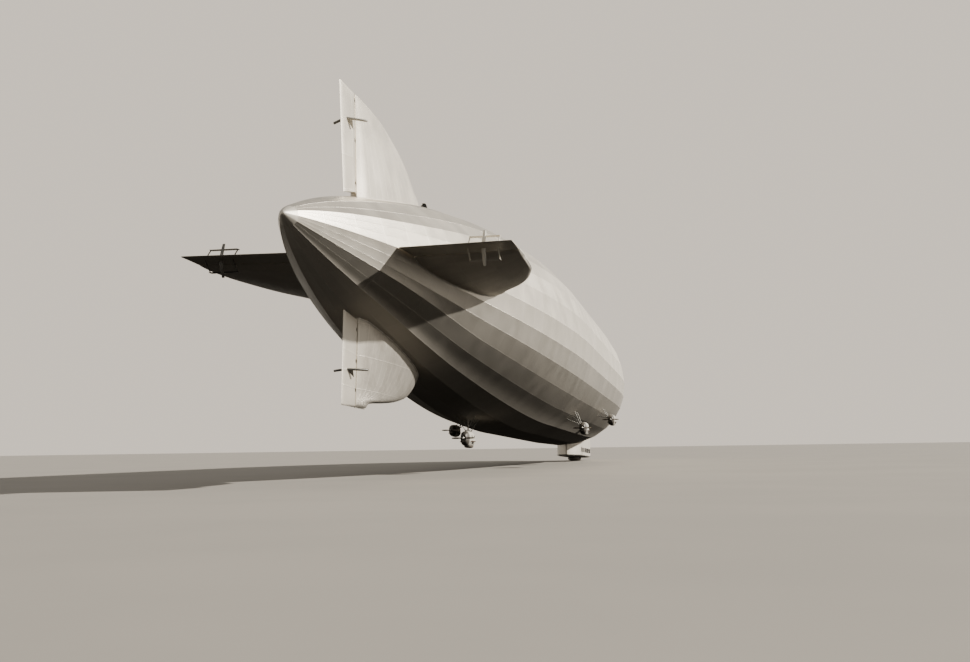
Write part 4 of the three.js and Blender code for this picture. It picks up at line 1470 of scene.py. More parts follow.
    def make_rim(self, paint: Paint) -> None:
        """Light band along the leading edge and the tip.

        Args:
            paint: Its finish.
        """
        inset = self.rim_radius * self.rim_sink
        path = [
            self.place(nose - inset, span - (inset if span > self.form.tip - self.tip_round else 0), 0)
            for span, nose in self.outline() if span > HULL.radius_at(nose) - self.rim_hidden
        ]
        end = self.place(self.rear(self.form.tip) + self.rim_turn, self.form.tip - inset, 0)
        rim = tube(f"{self.side}_fin_edge_band", [*path, end], self.rim_radius, 10)
        settle(rim, AIRSHIP, paint, crease=60)

    def make_root_strips(self, paint: Paint) -> None:
        """Rounded strips where both faces of the fin meet the hull.

        Args:
            paint: Its finish.
        """
        strips = []
        steps = 40
        start = self.rear(self.strip_from) + 4 * MM
        for face in SIDES:
            path = []
            for step in range(steps + 1):
                station = lerp(start, self.form.edge[0][1] + self.strip_to, step / steps)
                span = HULL.radius_at(station)
                nose = self.nose_at(span)
                if station > nose - 10 * MM:
                    break
                share = (station - self.rear(span)) / (nose - self.rear(span))
                half = self.fin_half_at(max(share, 0), span, nose)
                path.append(self.place(station, HULL.span_at(station, self.turn, face * half) + MM, face * half))
            strips.append(tube("strip", path, self.strip_radius, 8))
        settle(merge(f"{self.side}_fin_root_strips", strips), AIRSHIP, paint, crease=60)

    def nose_at(self, span: float) -> float:
        """Returns the station of the leading edge at a span."""
        points = self.outline()
        return read_off(points, span, points[0][1])

    def make_hinges(self, paint: Paint) -> None:
        """Lugs on the fin's rear face, each with its pin.

        Args:
            paint: Its finish.
        """
        parts = []
        for span in self.hinges:
            reach = self.rear(span) + self.lug_sink
            eye = [
                (self.hinge + self.lug_radius * math.cos(a), self.lug_radius * math.sin(a))
                for a in (math.pi * (0.5 + step / 8) for step in range(9))
            ]
            outline = [(reach, self.lug_foot), *eye, (reach, -self.lug_foot)]
            rings = [
                [self.place(station, span + along * self.lug_half, thick) for station, thick in outline]
                for along in SIDES
            ]
            parts.append(soften(loft("lug", rings), 2 * MM))
            ends = [self.place(self.hinge, end, 0) for end in about(span, self.lug_half + self.pin_over)]
            parts.append(tube("pin", ends, self.pin_radius, 12))
        settle(merge(f"{self.side}_fin_hinges", parts), AIRSHIP, paint)

    def surface_section(self, span: float, half: float, trailing: float, slope: float) -> Ring:
        """Returns a section of the rudder or elevator: a round nose and a thin trailing edge.

        Args:
            span: Distance from the hull's axis.
            half: Half thickness at the hinge line.
            trailing: Station of the trailing edge.
            slope: How much the span changes along the hull.

        Returns:
            Points round the section.
        """
        points = []
        for step in range(13):
            angle = math.pi * (0.5 - step / 12)
            points.append((self.hinge + half * math.cos(angle), half * math.sin(angle)))
        edge = min(self.trailing_half, half)
        back = [(lerp(self.hinge, trailing, share), lerp(half, edge, share)) for share in (0.25, 0.5, 0.75, 0.97)]
        rear = [(at, -thick) for at, thick in back]
        section = [*points, *rear, (trailing, 0.0), *reversed(back)]
        return [self.place(at, span + slope * (at - self.hinge), thick) for at, thick in section]

    def make_surface(self, paint: Paint, horn_paint_by_light: Paint) -> None:
        """Rudder or elevator with its notches, and what stands out from its faces.

        Args:
            paint: Finish of the cloth.
            horn_paint_by_light: Finish of what stands out.
        """
        slope = (self.base[0] - self.base[1]) / (self.hinge - self.trailing[0])
        tip = self.form.tip
        rows = []
        steps = 10
        for share in (step / steps for step in range(steps + 1)):
            span = lerp(self.base[0], tip - self.tip_round, share)
            rows.append((span, self.nose_half(span), lerp(*self.trailing, share), slope * (1 - share)))
        for turn in (0.3, 0.6, 0.85, 1.0):
            full = math.cos(turn * math.pi / 2)
            span = tip - self.tip_round * (1 - math.sin(turn * math.pi / 2))
            half = max(self.nose_half(span) * max(full, 0.2), self.trailing_half)
            rows.append((span, half, self.trailing[1] + self.tip_round * 0.8 * (1 - full), 0.0))
        rings = [self.surface_section(*row) for row in rows]
        around = [at * 0.03 for at in range(len(rings[0]) + 1)]
        name = f"{self.side}_{self.surface}"
        body = loft(f"{name}_cloth", rings, [row[0] for row in rows], around)
        notches = []
        reach = self.notch_reach
        for span in self.hinges:
            low, high = about(span, self.lug_half + MM)
            front = self.place(self.hinge - self.notch_front, low, -reach)
            corners = (front, self.place(self.hinge + reach, high, reach))
            notches.append(block("notch", *(sorted(ends) for ends in zip(*corners))))
        carve(body, merge("notches", notches))
        settle(body, name, paint, [name], crease=35)
        # Painted light and shade: the horns take their fin's own paint, lighter or darker than the same parts on other
        # fins.
        horns = self.plane_parts() if self.steering is Steering.PLANE else self.arm_parts()
        settle(merge(f"{name}_horns", horns), name, horn_paint_by_light, crease=40)

    def horn_line(self, ends: Pair, out: float, face: int, shift: float = 0.0) -> Vector:
        """Returns a place on the line of an arm or mast, which sweeps forward from foot to head."""
        behind = lerp(*ends, out / self.horn_reach)
        return self.place(self.hinge + behind, self.horn_span + shift, face * out)

    def plane_parts(self) -> list[Piece]:
        """Balance plane on a swept mast with two end posts, on both faces.

        Returns:
            The parts.
        """
        chord = Vector((self.plane_chord / 2, 0, 0))
        end = self.plane_half - self.post_radius
        middle = self.hinge + self.plane_middle
        parts = []
        for face in SIDES:
            foot = self.horn_line(self.mast, self.horn_inside, face)
            head = self.horn_line(self.mast, self.horn_reach, face)
            wide = self.horn_line(self.mast, self.horn_inside, face, self.mast_half) - foot
            parts.append(spar("mast", foot, head, wide, self.mast_thick, 0.7))
            level = face * self.plane_level
            left, right = (self.place(middle, self.horn_span + side * self.plane_half, level) for side in SIDES)
            parts.append(spar("plane", left, right, chord, self.plane_thick))
            for side in SIDES:
                low = self.place(self.hinge + self.post_foot, self.horn_span + side * end, face * self.horn_inside)
                high = self.place(middle, self.horn_span + side * end, level)
                parts.append(tube("post", [low, high], self.post_radius, 8))
        return parts

    def arm_parts(self) -> list[Piece]:
        """Swept arm with a gusset plate below it, on both faces.

        Returns:
            The parts.
        """
        down = -1 if self.turn > 0 else 1
        behind, drop, apex_out = self.gusset_apex
        parts = []
        for face in SIDES:
            foot = self.horn_line(self.arm, self.horn_inside, face)
            head = self.horn_line(self.arm, self.horn_reach, face)
            parts.append(spar("arm", foot, head, Vector((self.arm_half, 0, 0)), self.arm_thick))
            elbow = self.horn_line(self.arm, self.gusset_out, face)
            apex = self.place(self.hinge + behind, self.horn_span + down * drop, face * apex_out)
            normal = (elbow - foot).cross(apex - foot).normalized() * self.gusset_thick
            rings = [[corner + normal * side for corner in (foot, elbow, apex)] for side in (-1, 1)]
            parts.append(soften(loft("gusset", rings), 0.8 * MM, 1))
        return parts

    def build(self, paints: Paints) -> None:
        """Makes and dresses the pieces.

        Args:
            paints: All finishes.
        """
        # The lower fin takes the darker copy of the fin cloth, as painted shade.
        cloth = paints["lower_fin"] if self.side == "lower" else paints["fin"]
        self.make_fin(cloth)
        self.make_rim(paints["rim"])
        self.make_root_strips(paints["rim"])
        self.make_hinges(paints["steel"])
        self.make_surface(paints["fin"], paints[self.horn_paint_by_light])


RUDDER_BASE = (0.66, 0.6)
ELEVATOR_BASE = (0.645, 0.57)
LONG_HINGES = (0.76, 1.21, 1.64)
TAILS = (
    Tail(
        "upper", "rudder", 90, LONG_FIN, Steering.ARM, hinge=1.95, base=RUDDER_BASE, trailing=(1.655, 1.51),
        hinges=LONG_HINGES, horn_span=1.38, horn_paint_by_light="arm"
    ),
    Tail(
        "port", "elevator", 0, LONG_FIN, Steering.PLANE, hinge=2.0, base=ELEVATOR_BASE, trailing=(1.68, 1.6),
        hinges=LONG_HINGES, horn_span=1.39, horn_paint_by_light="steel"
    ),
    Tail(
        "lower", "rudder", -90, SHORT_FIN, Steering.ARM, hinge=2.02, base=RUDDER_BASE, trailing=(1.687, 1.633),
        hinges=(0.76, 1.08, 1.375), horn_span=1.185, horn_paint_by_light="steel"
    ),
    # Painted light: the starboard elevator's horns take the pale edge band paint, where the port ones stay dark steel.
    Tail(
        "starboard", "elevator", 180, LONG_FIN, Steering.PLANE, hinge=2.0, base=ELEVATOR_BASE, trailing=(1.68, 1.6),
        hinges=LONG_HINGES, horn_span=1.39, horn_paint_by_light="rim"
    ),
)


# Engine cars


@dataclass(frozen=True)
class Nacelle:
    """Shared patterns of the engine cars, modelled once at the origin and then copied.

    Their coordinates run forward from the nacelle's rear end, to port, and up from its axis.
    """

    length: float = 0.6
    half: float = 0.074
    tall: float = 0.112
    wall: float = 0.006
    sides: int = 36
    roundness: float = 0.75
    form: tuple[Pair, ...] = (
        (0, 0.5), (0.06, 0.72), (0.2, 0.93), (0.4, 1), (0.65, 1), (0.82, 0.9), (0.94, 0.68), (1, 0.46)
    )
    bands: tuple[float, ...] = (0.16, 0.38, 0.62, 0.84)
    band_half: float = 0.014
    band_height: float = 0.0011
    rear_rounding: Pair = (0.86, 0.97)
    mouth_form: tuple[Pair, ...] = ((0, 1), (0, 0.86), (0.014, 0.84))
    hollow: Pair = (0.06, 0.94)
    hatch_along: float = 0.33
    hatch_length: float = 0.07
    hatch_width: float = 0.052
    bore: float = 0.0099
    bearing: float = 0.02
    window_angles: Pair = (12, 168)
    window_places: Pair = (0.25, 0.42)
    window_radius: float = 0.018
    slat_pitch: float = 0.0115
    louvre_angles: Pair = (-28, 208)
    louvre_start: float = 0.24
    louvre_pitch: float = 0.022
    louvre_count: int = 7
    louvre_turns: tuple[float, ...] = (-9, -3, 3, 9)
    louvre_radius: float = 0.0028
    exhaust_angles: Pair = (-12, 192)
    exhaust_out: float = 0.011
    manifold_places: tuple[float, ...] = (0.2, 0.25, 0.32, 0.39, 0.45)
    manifold_radius: float = 0.0065
    stub_places: tuple[float, ...] = (0.26, 0.3, 0.34, 0.38, 0.42)
    stub_radius: float = 0.0045
    propeller_radius: float = 0.17
    propeller_plane: float = -0.029
    sheath_from: float = 0.8
    blade_hollow: float = 0.45
    hub_radius: float = 0.021
    shaft_radius: float = 0.009
    blade: tuple[tuple[float, ...], ...] = (
        (0.06, 0.0099, 0.009, 62), (0.3, 0.0126, 0.0055, 44), (0.62, 0.0135, 0.0036, 27),
        (0.88, 0.0105, 0.0022, 20), (0.97, 0.0075, 0.0015, 18), (1.0, 0.0035, 0.0012, 18)
    )
    spinner: tuple[Pair, ...] = (
        (0.017, 0.5), (0.017, 1.0), (-0.017, 1.0), (-0.022, 0.86), (-0.032, 0.56), (-0.041, 0.3), (-0.0425, 0.12)
    )

    def fullness(self, share: float) -> float:
        """Returns the nacelle's size at a share of its length, as a share of its widest."""
        return read_off(smooth_path([Vector(point) for point in self.form], 8), share, self.form[-1][1])

    def reach(self, car: Vector) -> float:
        """Returns the distance from a car's axis to the nacelle's skin, towards the hull's axis.

        Args:
            car: Place of the car's axis.

        Returns:
            The distance.
        """
        power = 2 / self.roundness
        across, up = abs(car.y / self.half), abs(car.z / self.tall)
        return math.hypot(car.y, car.z) / (across**power + up**power) ** (1 / power)

    def outline(self, distance: float, full: float, turn: float, offset: float = 0.0) -> Vector:
        """Returns a place on the nacelle's outline, which is an oval with flattened sides."""
        across, up = (signed_power(part, self.roundness) for part in (math.cos(turn), math.sin(turn)))
        return Vector((distance, (self.half * full + offset) * across, (self.tall * full + offset) * up))

    def ring(self, distance: float, full: float, offset: float = 0.0) -> Ring:
        """Returns a ring of the nacelle."""
        return [self.outline(distance, full, a, offset) for a in round_angles(self.sides)]

    def skin(self, distance: float, angle: float, offset: float = 0.0) -> Vector:
        """Returns a place on the nacelle's skin at an angle from port, in degrees."""
        return self.outline(distance, self.fullness(distance / self.length), math.radians(angle), offset)

    def hatch(self, name: str, grow: float, z: Pair, edge: float) -> Piece:
        """Returns a box at the hatch, grown on its sides."""
        x, y = about(self.hatch_along, self.hatch_length / 2 + grow), about(0, self.hatch_width / 2 + grow)
        return block(name, x, y, z, edge)

    def windows(self) -> list[tuple[float, float, Vector]]:
        """Returns the distance, the angle and the outward direction of each round window.

        Returns:
            One row for each window.
        """
        return [
            (distance, angle, Vector((0, math.cos(math.radians(angle)), math.sin(math.radians(angle)))))
            for angle in self.window_angles for distance in self.window_places
        ]

    def plugs(self, grow: float, reach: float) -> list[Piece]:
        """Returns a round plug through the skin at each window, for an opening or its rim.

        Args:
            grow: How much wider than the window.
            reach: How far it reaches on both sides of the skin.

        Returns:
            One plug for each window.
        """
        plugs = []
        for distance, angle, out in self.windows():
            ends = [self.skin(distance, angle) + out * reach * side for side in SIDES]
            plugs.append(tube("plug", ends, self.window_radius + grow, 24))
        return plugs

    def make_shell(self) -> Piece:
        """Egg-shaped shell with seam bands, a radiator mouth, a rear bearing and the hatch under the ladder.

        Returns:
            The shell.
        """
        steps = 40
        rear, mouth = self.form[0][1], self.form[-1][1]
        rings = [self.ring(0.0, rear * full) for full in self.rear_rounding]
        for share in (step / steps for step in range(1, steps)):
            near = min(abs(share - band) for band in self.bands)
            raised = self.band_height if near < self.band_half else 0.0
            rings.append(self.ring(share * self.length, self.fullness(share), raised))
        rings += [self.ring(self.length - back, mouth * full) for back, full in self.mouth_form]
        shell = loft("shell", rings, [ring[0].x for ring in rings], [0.02 * step for step in range(self.sides + 1)])
        shares = [lerp(*self.hollow, step / 12) for step in range(13)]
        carve(shell, loft("inside", [self.ring(at * self.length, self.fullness(at), -self.wall) for at in shares]))
        carve(shell, rod("bore", (-0.02, 0.06), self.bore, 20))
        carve(shell, self.hatch("hatch", 0.0, (self.tall / 2, self.tall * 2), 0.004))
        for plug in self.plugs(0.0, 0.03):
            carve(shell, plug)
        return shell

    def make_fittings(self) -> Piece:
        """Radiator slats, louvres, window rims, hatch coaming and bearing.

        Returns:
            The fittings as one piece.
        """
        wide, tall = (size * self.form[-1][1] * 0.85 for size in (self.half, self.tall))
        parts = []
        for z in (step * self.slat_pitch for step in range(-3, 4)):
            reach = wide * dome(z / tall, 0.02)
            ends = [Vector((self.length - 0.006, side * reach, z)) for side in SIDES]
            parts.append(spar("slat", *ends, Vector((0.005, 0, 0.002)), 0.0012))
        parts.append(tube("bar", [Vector((self.length - 0.004, 0, side * tall)) for side in SIDES], 0.002, 8))
        parts += [carve(rim, hole) for rim, hole in zip(self.plugs(0.003, 0.002), self.plugs(0.0, 0.03))]
        for angle in self.louvre_angles:
            for step in range(self.louvre_count):
                distance = self.louvre_start + step * self.louvre_pitch
                path = [self.skin(distance, angle + turn, MM) for turn in self.louvre_turns]
                parts.append(tube("louvre", path, self.louvre_radius, 6))
        low, high = self.tall * 0.93, self.tall * 1.02
        coaming = self.hatch("coaming", 0.004, (low, high), 0.002)
        parts.append(carve(coaming, self.hatch("hole", 0.0, (low - 0.02, high + 0.02), 0.003)))
        collar = rod("collar", (-0.005, 0.012), self.bearing, 24)
        parts.append(carve(collar, rod("bore", (-0.03, 0.05), self.bore, 20)))
        return merge("fittings", parts)

    def make_exhausts(self) -> Piece:
        """Stub pipes that join a manifold under each side.

        Returns:
            The pipes as one piece.
        """
        parts = []
        for angle in self.exhaust_angles:
            line = [self.skin(distance, angle, self.exhaust_out) for distance in self.manifold_places]
            tail = line[0] + Vector((-0.05, 0, -0.012))
            parts.append(tube("manifold", smooth_path([tail, *line], 4), self.manifold_radius, 10))
            for distance in self.stub_places:
                stub = [self.skin(distance, angle, out) for out in (-0.004, self.exhaust_out)]
                parts.append(tube("stub", stub, self.stub_radius, 8))
        return merge("exhausts", parts)

    def make_panes(self) -> Piece:
        """Glass of the four round windows.

        Returns:
            The panes as one piece.
        """
        parts = []
        for distance, angle, out in self.windows():
            centre = self.skin(distance, angle, -0.003)
            parts.append(tube("pane", [centre, centre + out * 0.0015], self.window_radius + 0.001, 24))
        return merge("panes", parts)

    def blade_ring(self, place: float, wide: float, thick: float, pitch: float) -> Ring:
        """Returns a section of a blade, flatter behind.

        Args:
            place: Share of the radius.
            wide: Half of the chord.
            thick: Half of the thickness in front.
            pitch: Twist in degrees.

        Returns:
            Points of the blade that runs to port.
        """
        turn = math.radians(pitch)
        ring = []
        for a in round_angles(16):
            across = math.cos(a) * wide
            through = math.sin(a) * thick * (1.0 if math.sin(a) > 0 else self.blade_hollow)
            x = across * math.sin(turn) + through * math.cos(turn)
            z = across * math.cos(turn) - through * math.sin(turn)
            ring.append(Vector((self.propeller_plane - x, place * self.propeller_radius, z)))
        return ring

    def make_blades(self, paints: Paints) -> Piece:
        """Two twisted wooden blades with brass tips, on a hub with its spinner and shaft.

        Args:
            paints: All finishes.

        Returns:
            The propeller as one piece.
        """
        curves = [smooth_path([Vector((row[0], row[column], 0)) for row in self.blade], 4) for column in (1, 2, 3)]
        parts = []
        for sign in (1, -1):
            rings = [self.blade_ring(wide.x, wide.y, thick.y, pitch.y) for wide, thick, pitch in zip(*curves)]
            parts.append(loft("blade", [[Vector((p.x, sign * p.y, sign * p.z)) for p in ring] for ring in rings]))
        wood = merge("wood", parts)
        for key in ("propeller", "brass"):
            wood.data.materials.append(paints[key])
        for face in wood.data.polygons:
            face.material_index = int(abs(face.center.y) > self.propeller_radius * self.sheath_from)
        profile = [(self.propeller_plane + at, full) for at, full in self.spinner]
        shaft = rod("shaft", (self.propeller_plane, 0.12), self.shaft_radius, 16)
        hub = merge("hub", [soften(turned("spinner", profile, self.hub_radius), 0.001, 1), shaft])
        hub.data.materials.append(paints["steel"])
        return merge("blades", [wood, hub])

    def make(self, paints: Paints) -> dict[str, Piece]:
        """Returns all patterns by name.

        Args:
            paints: All finishes.

        Returns:
            The patterns.
        """
        return {
            "shell": self.make_shell(), "fittings": self.make_fittings(), "exhausts": self.make_exhausts(),
            "panes": self.make_panes(), "blades": self.make_blades(paints)
        }


NACELLE = Nacelle()


@dataclass(frozen=True)
class EngineCar:
    """Hanging engine car: nacelle, fittings, struts and pusher propeller."""

    name: str
    sink: float = 0.004
    beam: float = 0.33
    beam_wide: float = 0.022
    beam_thick: float = 0.012
    strut_radius: float = 0.0045
    strut_inset: float = 0.012
    strut_foot: float = 0.005
    strut_spread: float = 0.176
    strut_rake: float = 0.04
    strut_root: float = 0.86
    brace_radius: float = 0.0011
    ladder_width: float = 0.044
    ladder_pitch: float = 0.028
    rail_radius: float = 0.003
    rung_radius: float = 0.0022

    def origin(self) -> Vector:
        """Returns the middle of the nacelle's rear end."""
        low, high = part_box(f"{self.name}_car_nacelle")
        return Vector((low.x, (low.y + high.y) / 2, (low.z + high.z) / 2))

    def point(self, distance: float, sideways: float, inward: float) -> Vector:
        """Returns a place beside the car: along its axis, sideways, and towards the hull's axis.

        Args:
            distance: From the nacelle's rear end, along its axis.
            sideways: Across the line to the hull.
            inward: Towards the hull's axis.

        Returns:
            The place.
        """
        origin = self.origin()
        to_hull = Vector((0, -origin.y, -origin.z)).normalized()
        side = Vector((0, to_hull.z, -to_hull.y))
        return Vector((origin.x + distance, origin.y, origin.z)) + side * sideways + to_hull * inward

    def make_struts(self, paints: Paints) -> None:
        """Beam on the nacelle, splayed struts with braces, and the ladder.

        Args:
            paints: All finishes.
        """
        origin = self.origin()
        skin = NACELLE.reach(origin)
        low, high = skin - self.sink, math.hypot(origin.y, origin.z) - HULL.radius * self.strut_root
        rear, front = about(NACELLE.hatch_along, self.beam / 2)
        wide = self.point(0, self.beam_wide / 2, 0) - self.point(0, 0, 0)
        parts = [spar("beam", self.point(rear, 0, low), self.point(front, 0, low), wide, self.beam_thick)]
        lines = []
        for at, rake in ((rear + self.strut_inset, -self.strut_rake), (front - self.strut_inset, self.strut_rake)):
            for edge in SIDES:
                foot = self.point(at, edge * self.strut_foot, low)
                head = self.point(at + rake, edge * self.strut_spread, high)
                lines.append((foot, head))
                parts.append(spar("strut", foot, head, Vector((self.strut_radius, 0, 0)) * 1.7, self.strut_radius))
                parts.append(tube("socket", [foot, foot.lerp(head, 0.07)], self.strut_radius * 1.9, 10))
        for start, end in ((0, 3), (3, 0), (1, 2), (2, 1)):
            parts.append(tube("brace", [lines[start][0], lines[end][1]], self.brace_radius, 5))
        rails = about(NACELLE.hatch_along, self.ladder_width / 2)
        for at in rails:
            parts.append(tube("rail", [self.point(at, 0, low), self.point(at, 0, high)], self.rail_radius, 6))
        for rung in range(1, int((high - skin) / self.ladder_pitch) + 1):
            ends = [self.point(at, 0, skin + rung * self.ladder_pitch) for at in rails]
            parts.append(tube("rung", ends, self.rung_radius, 6))
        struts = merge(f"{self.name}_car_hanging", parts)
        settle(struts, AIRSHIP, paints["steel"], [f"{self.name}_car_struts"])

    def build(self, paints: Paints, patterns: dict[str, Piece]) -> None:
        """Makes and dresses the pieces, with the nacelle and propeller copied from the shared patterns.

        Args:
            paints: All finishes.
            patterns: Shared patterns by name.
        """
        origin = self.origin()
        for part, paint, slot, nodes in (
            ("shell", "nacelle", Slot.NACELLE, [f"{self.name}_car_nacelle"]), ("fittings", "steel", Slot.STEEL, []),
            ("exhausts", "exhaust", Slot.STEEL, []), ("panes", "glass", Slot.GLASS, [])
        ):
            piece = copy_of(patterns[part], f"{self.name}_car_{part}", origin)
            settle(piece, AIRSHIP, paints[paint], nodes)
        self.make_struts(paints)
        blades = copy_of(patterns["blades"], f"{self.name}_propeller_blades", origin)
        settle(blades, f"{self.name}_propeller", None, [f"{self.name}_car_propeller"])
        dress(f"{self.name}_car_engine", paints["iron"])


CARS = tuple(
    EngineCar(name) for name in ("rear", "port_middle", "starboard_middle", "port_forward", "starboard_forward")
)


@dataclass(frozen=True)
class Bumper:
    """Inflated bag with its straps, flat where it meets the ground."""

    node: str
    straps: int
    strap_half: float = 0.03
    strap_reach: float = 0.72

    def section(self, share: float, grow: float) -> Ring:
        """Returns a ring of the bag at a share of its length from -1 to 1.

        Args:
            share: Place along the bag.
            grow: How far the ring stands out from it.

        Returns:
            Points of the ring.
        """
        low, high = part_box(self.node)
        full = min(dome(share * 0.94) / dome(0.47), 1.0)
        middle = lerp(high.z, low.z, 0.35)
        half = (high.y - low.y) / 2 * full
        ring = []
        for a in round_angles(28):
            y = signed_power(math.cos(a), 0.8) * half
            drop = (high.z - middle) if math.sin(a) > 0 else (middle - low.z)
            z = middle + drop * signed_power(math.sin(a), 0.6) * (0.55 + 0.45 * full)
            out = Vector((0, math.cos(a), max(math.sin(a), -0.3))) * grow
            ring.append(Vector((lerp(low.x, high.x, (share + 1) / 2), y, max(z, low.z))) + out)
        return ring

    def build(self, paints: Paints) -> None:
        """Makes and dresses the bag and its straps.

        Args:
            paints: All finishes.
        """
        shares = [math.sin(math.pi / 2 * (2 * step / 24 - 1)) for step in range(25)]
        bag = loft(f"{self.node}_bag", [self.section(share, -0.001) for share in shares])
        settle(bag, AIRSHIP, paints["bumper"], [self.node], crease=50)
        bands = []
        for strap in range(self.straps):
            centre = lerp(-self.strap_reach, self.strap_reach, strap / (self.straps - 1))
            edges = ((-1, -0.002), (-1, 0.001), (1, 0.001), (1, -0.002))
            bands.append(loft("band", [self.section(centre + side * self.strap_half, grow) for side, grow in edges]))
        settle(merge(f"{self.node}_straps", bands), AIRSHIP, paints["strap"], crease=50)


# Gondola


@dataclass(frozen=True)
class WindowCut:
    """Window in the gondola's wall, given by two plan lines that run out through the wall."""

    near: tuple[Vector, Vector]
    far: tuple[Vector, Vector]
    width: float
    low: float
    high: float
    corner: float = 0.012

    def solid(self, grow: float) -> Piece:
        """Returns a plug through the wall, grown all round.

        Args:
            grow: How much larger than the window.

        Returns:
            The plug.
        """
        corner = self.corner + grow * 0.5
        right, top, bottom = self.width + 2 * grow - corner, self.high + grow - corner, self.low - grow + corner
        outline = []
        for along, z, start in ((right, top, 0), (corner, top, 90), (corner, bottom, 180), (right, bottom, 270)):
            for a in (math.radians(start + 22.5 * step) for step in range(5)):
                outline.append(((along + corner * math.cos(a) - grow) / self.width, z + corner * math.sin(a)))
        return loft("window_plug", [
            [Vector((*first.lerp(second, share), z)) for share, z in outline] for first, second in (self.near, self.far)
        ])


@dataclass(frozen=True)
class Gondola:
    """Control car and passenger cabin under the bow."""

    stern: float = 18.85
    bow: float = 21.9
    half: float = 0.298
    stern_run: float = 0.62
    bow_run: float = 0.4
    wall: float = 0.008
    floor_top: float = -1.69
    floor_thick: float = 0.038
    tuck: float = 0.026
    wall_top: float = -0.9
    bow_split: float = 21.48
    stern_split: float = 19.38
    band_low: float = -1.62
    band_high: float = -1.515
    windows: tuple[Pair, ...] = (
        (19.47, 0.074), (19.64, 0.074), (19.79, 0.074), (19.94, 0.074), (20.09, 0.074), (20.28, 0.15), (20.46, 0.15),
        (20.67, 0.15), (20.85, 0.15), (21.07, 0.12), (21.22, 0.12), (21.355, 0.112)
    )
    mullion_over: float = 0.1
    bow_panes: int = 7
    bow_reach: float = 72
    bow_band: Pair = (-1.635, -1.49)
    bow_post: float = 0.012
    belts: tuple[Pair, ...] = ((-1.645, 0.0028), (-1.482, 0.0028), (-1.686, 0.0035))
    rail_out: float = 0.012
    bracket_length: float = 0.026
    bracket_stations: tuple[float, ...] = (19.6, 19.95, 20.3, 20.65, 21.0, 21.35)
    door_from: float = 19.572
    door_width: float = 0.052
    door_low: float = -1.684
    door_high: float = -1.49
    door_gap: float = 0.003
    grip: tuple[Pair, ...] = ((0.002, -1.606), (0.009, -1.604), (0.009, -1.584), (0.002, -1.582))
    hinge_out: float = 0.007
    hinge_levels: Pair = (-1.65, -1.525)
    hinge_half: float = 0.009
    hinge_pin: Pair = (0.0114, 0.0015)
    ear: Pair = (0.0036, 0.0108)
    ear_half: float = 0.0024
    tables: Pair = (20.47, 20.9)
    table_out: float = 0.17
    seat_from_table: float = 0.085
    seat_half: Pair = (0.022, 0.024)
    seat_height: Pair = (0.042, 0.048)
    back_height: Pair = (0.06, 0.098)
    chair_legs: Pair = (0.018, 0.02)
    chart_table: float = 21.45

    def outline(self, inset: float) -> list[Vector]:
        """Returns the plan outline from the stern along port round to starboard.

        Args:
            inset: How far inside the walls' outer face.

        Returns:
            Points in plan.
        """
        stern = self.stern + inset
        bow = self.bow - inset
        port = []
        for step in range(15):
            share = 0.02 + 0.98 * (step / 14) ** 1.5
            half = (self.half - inset) * math.sin(share * math.pi / 2) ** 0.8
            port.append(Vector((HULL.along(stern + share * (self.stern_run - inset)), half)))
        for step in range(16):
            angle = math.pi / 2 * step / 16
            half = (self.half - inset) * math.cos(angle)
            port.append(Vector((HULL.along(bow - (1 - math.sin(angle)) * (self.bow_run - inset)), half)))
        return [*port, Vector((HULL.along(bow), 0)), *(Vector((p.x, -p.y)) for p in reversed(port))]

    def prism(self, name: str, inset: float, low: float, high: float) -> Piece:
        """Returns a solid above the plan outline, with a chart of the distance along it.

        Args:
            name: Name of the solid.
            inset: How far inside the walls' outer face.
            low: Its foot.
            high: Its top.

        Returns:
            The solid.
        """
        plan = self.outline(inset)
        around = [0.0]
        for first, second in zip(plan, [*plan[1:], plan[0]]):
            around.append(around[-1] + (second - first).length)
        piece = loft(name, [[Vector((*point, z)) for point in plan] for z in (low, high)], (low, high), around)
        for corner in piece.data.uv_layers[CHART].data:
            corner.uv = (corner.uv[1], corner.uv[0])
        return piece

    def jacket(self, name: str, outer: float, inner: float, low: float, high: float) -> Piece:
        """Returns a band round the plan outline, between two insets."""
        return carve(self.prism(name, outer, low, high), self.prism("inside", inner, low - 0.05, high + 0.05))

    def side_cuts(self) -> list[WindowCut]:
        """Returns the windows of both sides.

        Returns:
            One cut for each window.
        """
        cuts = []
        for start, width in self.windows:
            for side in SIDES:
                near, far = (
                    tuple(Vector((HULL.along(end), side * y)) for end in (start, start + width)) for y in (0.2, 0.4)
                )
                cuts.append(WindowCut(near, far, width, self.band_low, self.band_high))
        return cuts

    def bow_cuts(self) -> list[WindowCut]:
        """Returns the large panes round the bow.

        Returns:
            One cut for each pane.
        """
        centre = Vector((HULL.along(self.bow - self.bow_run), 0))
        cuts = []
        for pane in range(self.bow_panes):
            shares = ((pane + end) / self.bow_panes for end in (0, 1))
            rays = [math.radians(lerp(-self.bow_reach, self.bow_reach, share)) for share in shares]
            lines = []
            for radius in (0.15, 0.6):
                lines.append(tuple(
                    centre + Vector((
                        radius * math.cos(ray) - inset * math.sin(ray), radius * math.sin(ray) + inset * math.cos(ray)
                    ))
                    for ray, inset in zip(rays, (self.bow_post / 2, -self.bow_post / 2))
                ))
            cuts.append(WindowCut(*lines, 0.35 * (rays[1] - rays[0]), *self.bow_band))
        return cuts

    def plugs(self, grow: float) -> Piece:
        """Returns all window plugs as one piece."""
        return merge("plugs", [cut.solid(grow) for cut in (*self.side_cuts(), *self.bow_cuts())])

    def doorway(self, grow: float) -> Piece:
        """Returns a plug through the starboard wall at the door."""
        x = (HULL.along(self.door_from) - grow, HULL.along(self.door_from + self.door_width) + grow)
        return block("doorway", x, (-0.4, -0.2), (self.door_low - grow, self.door_high + grow))

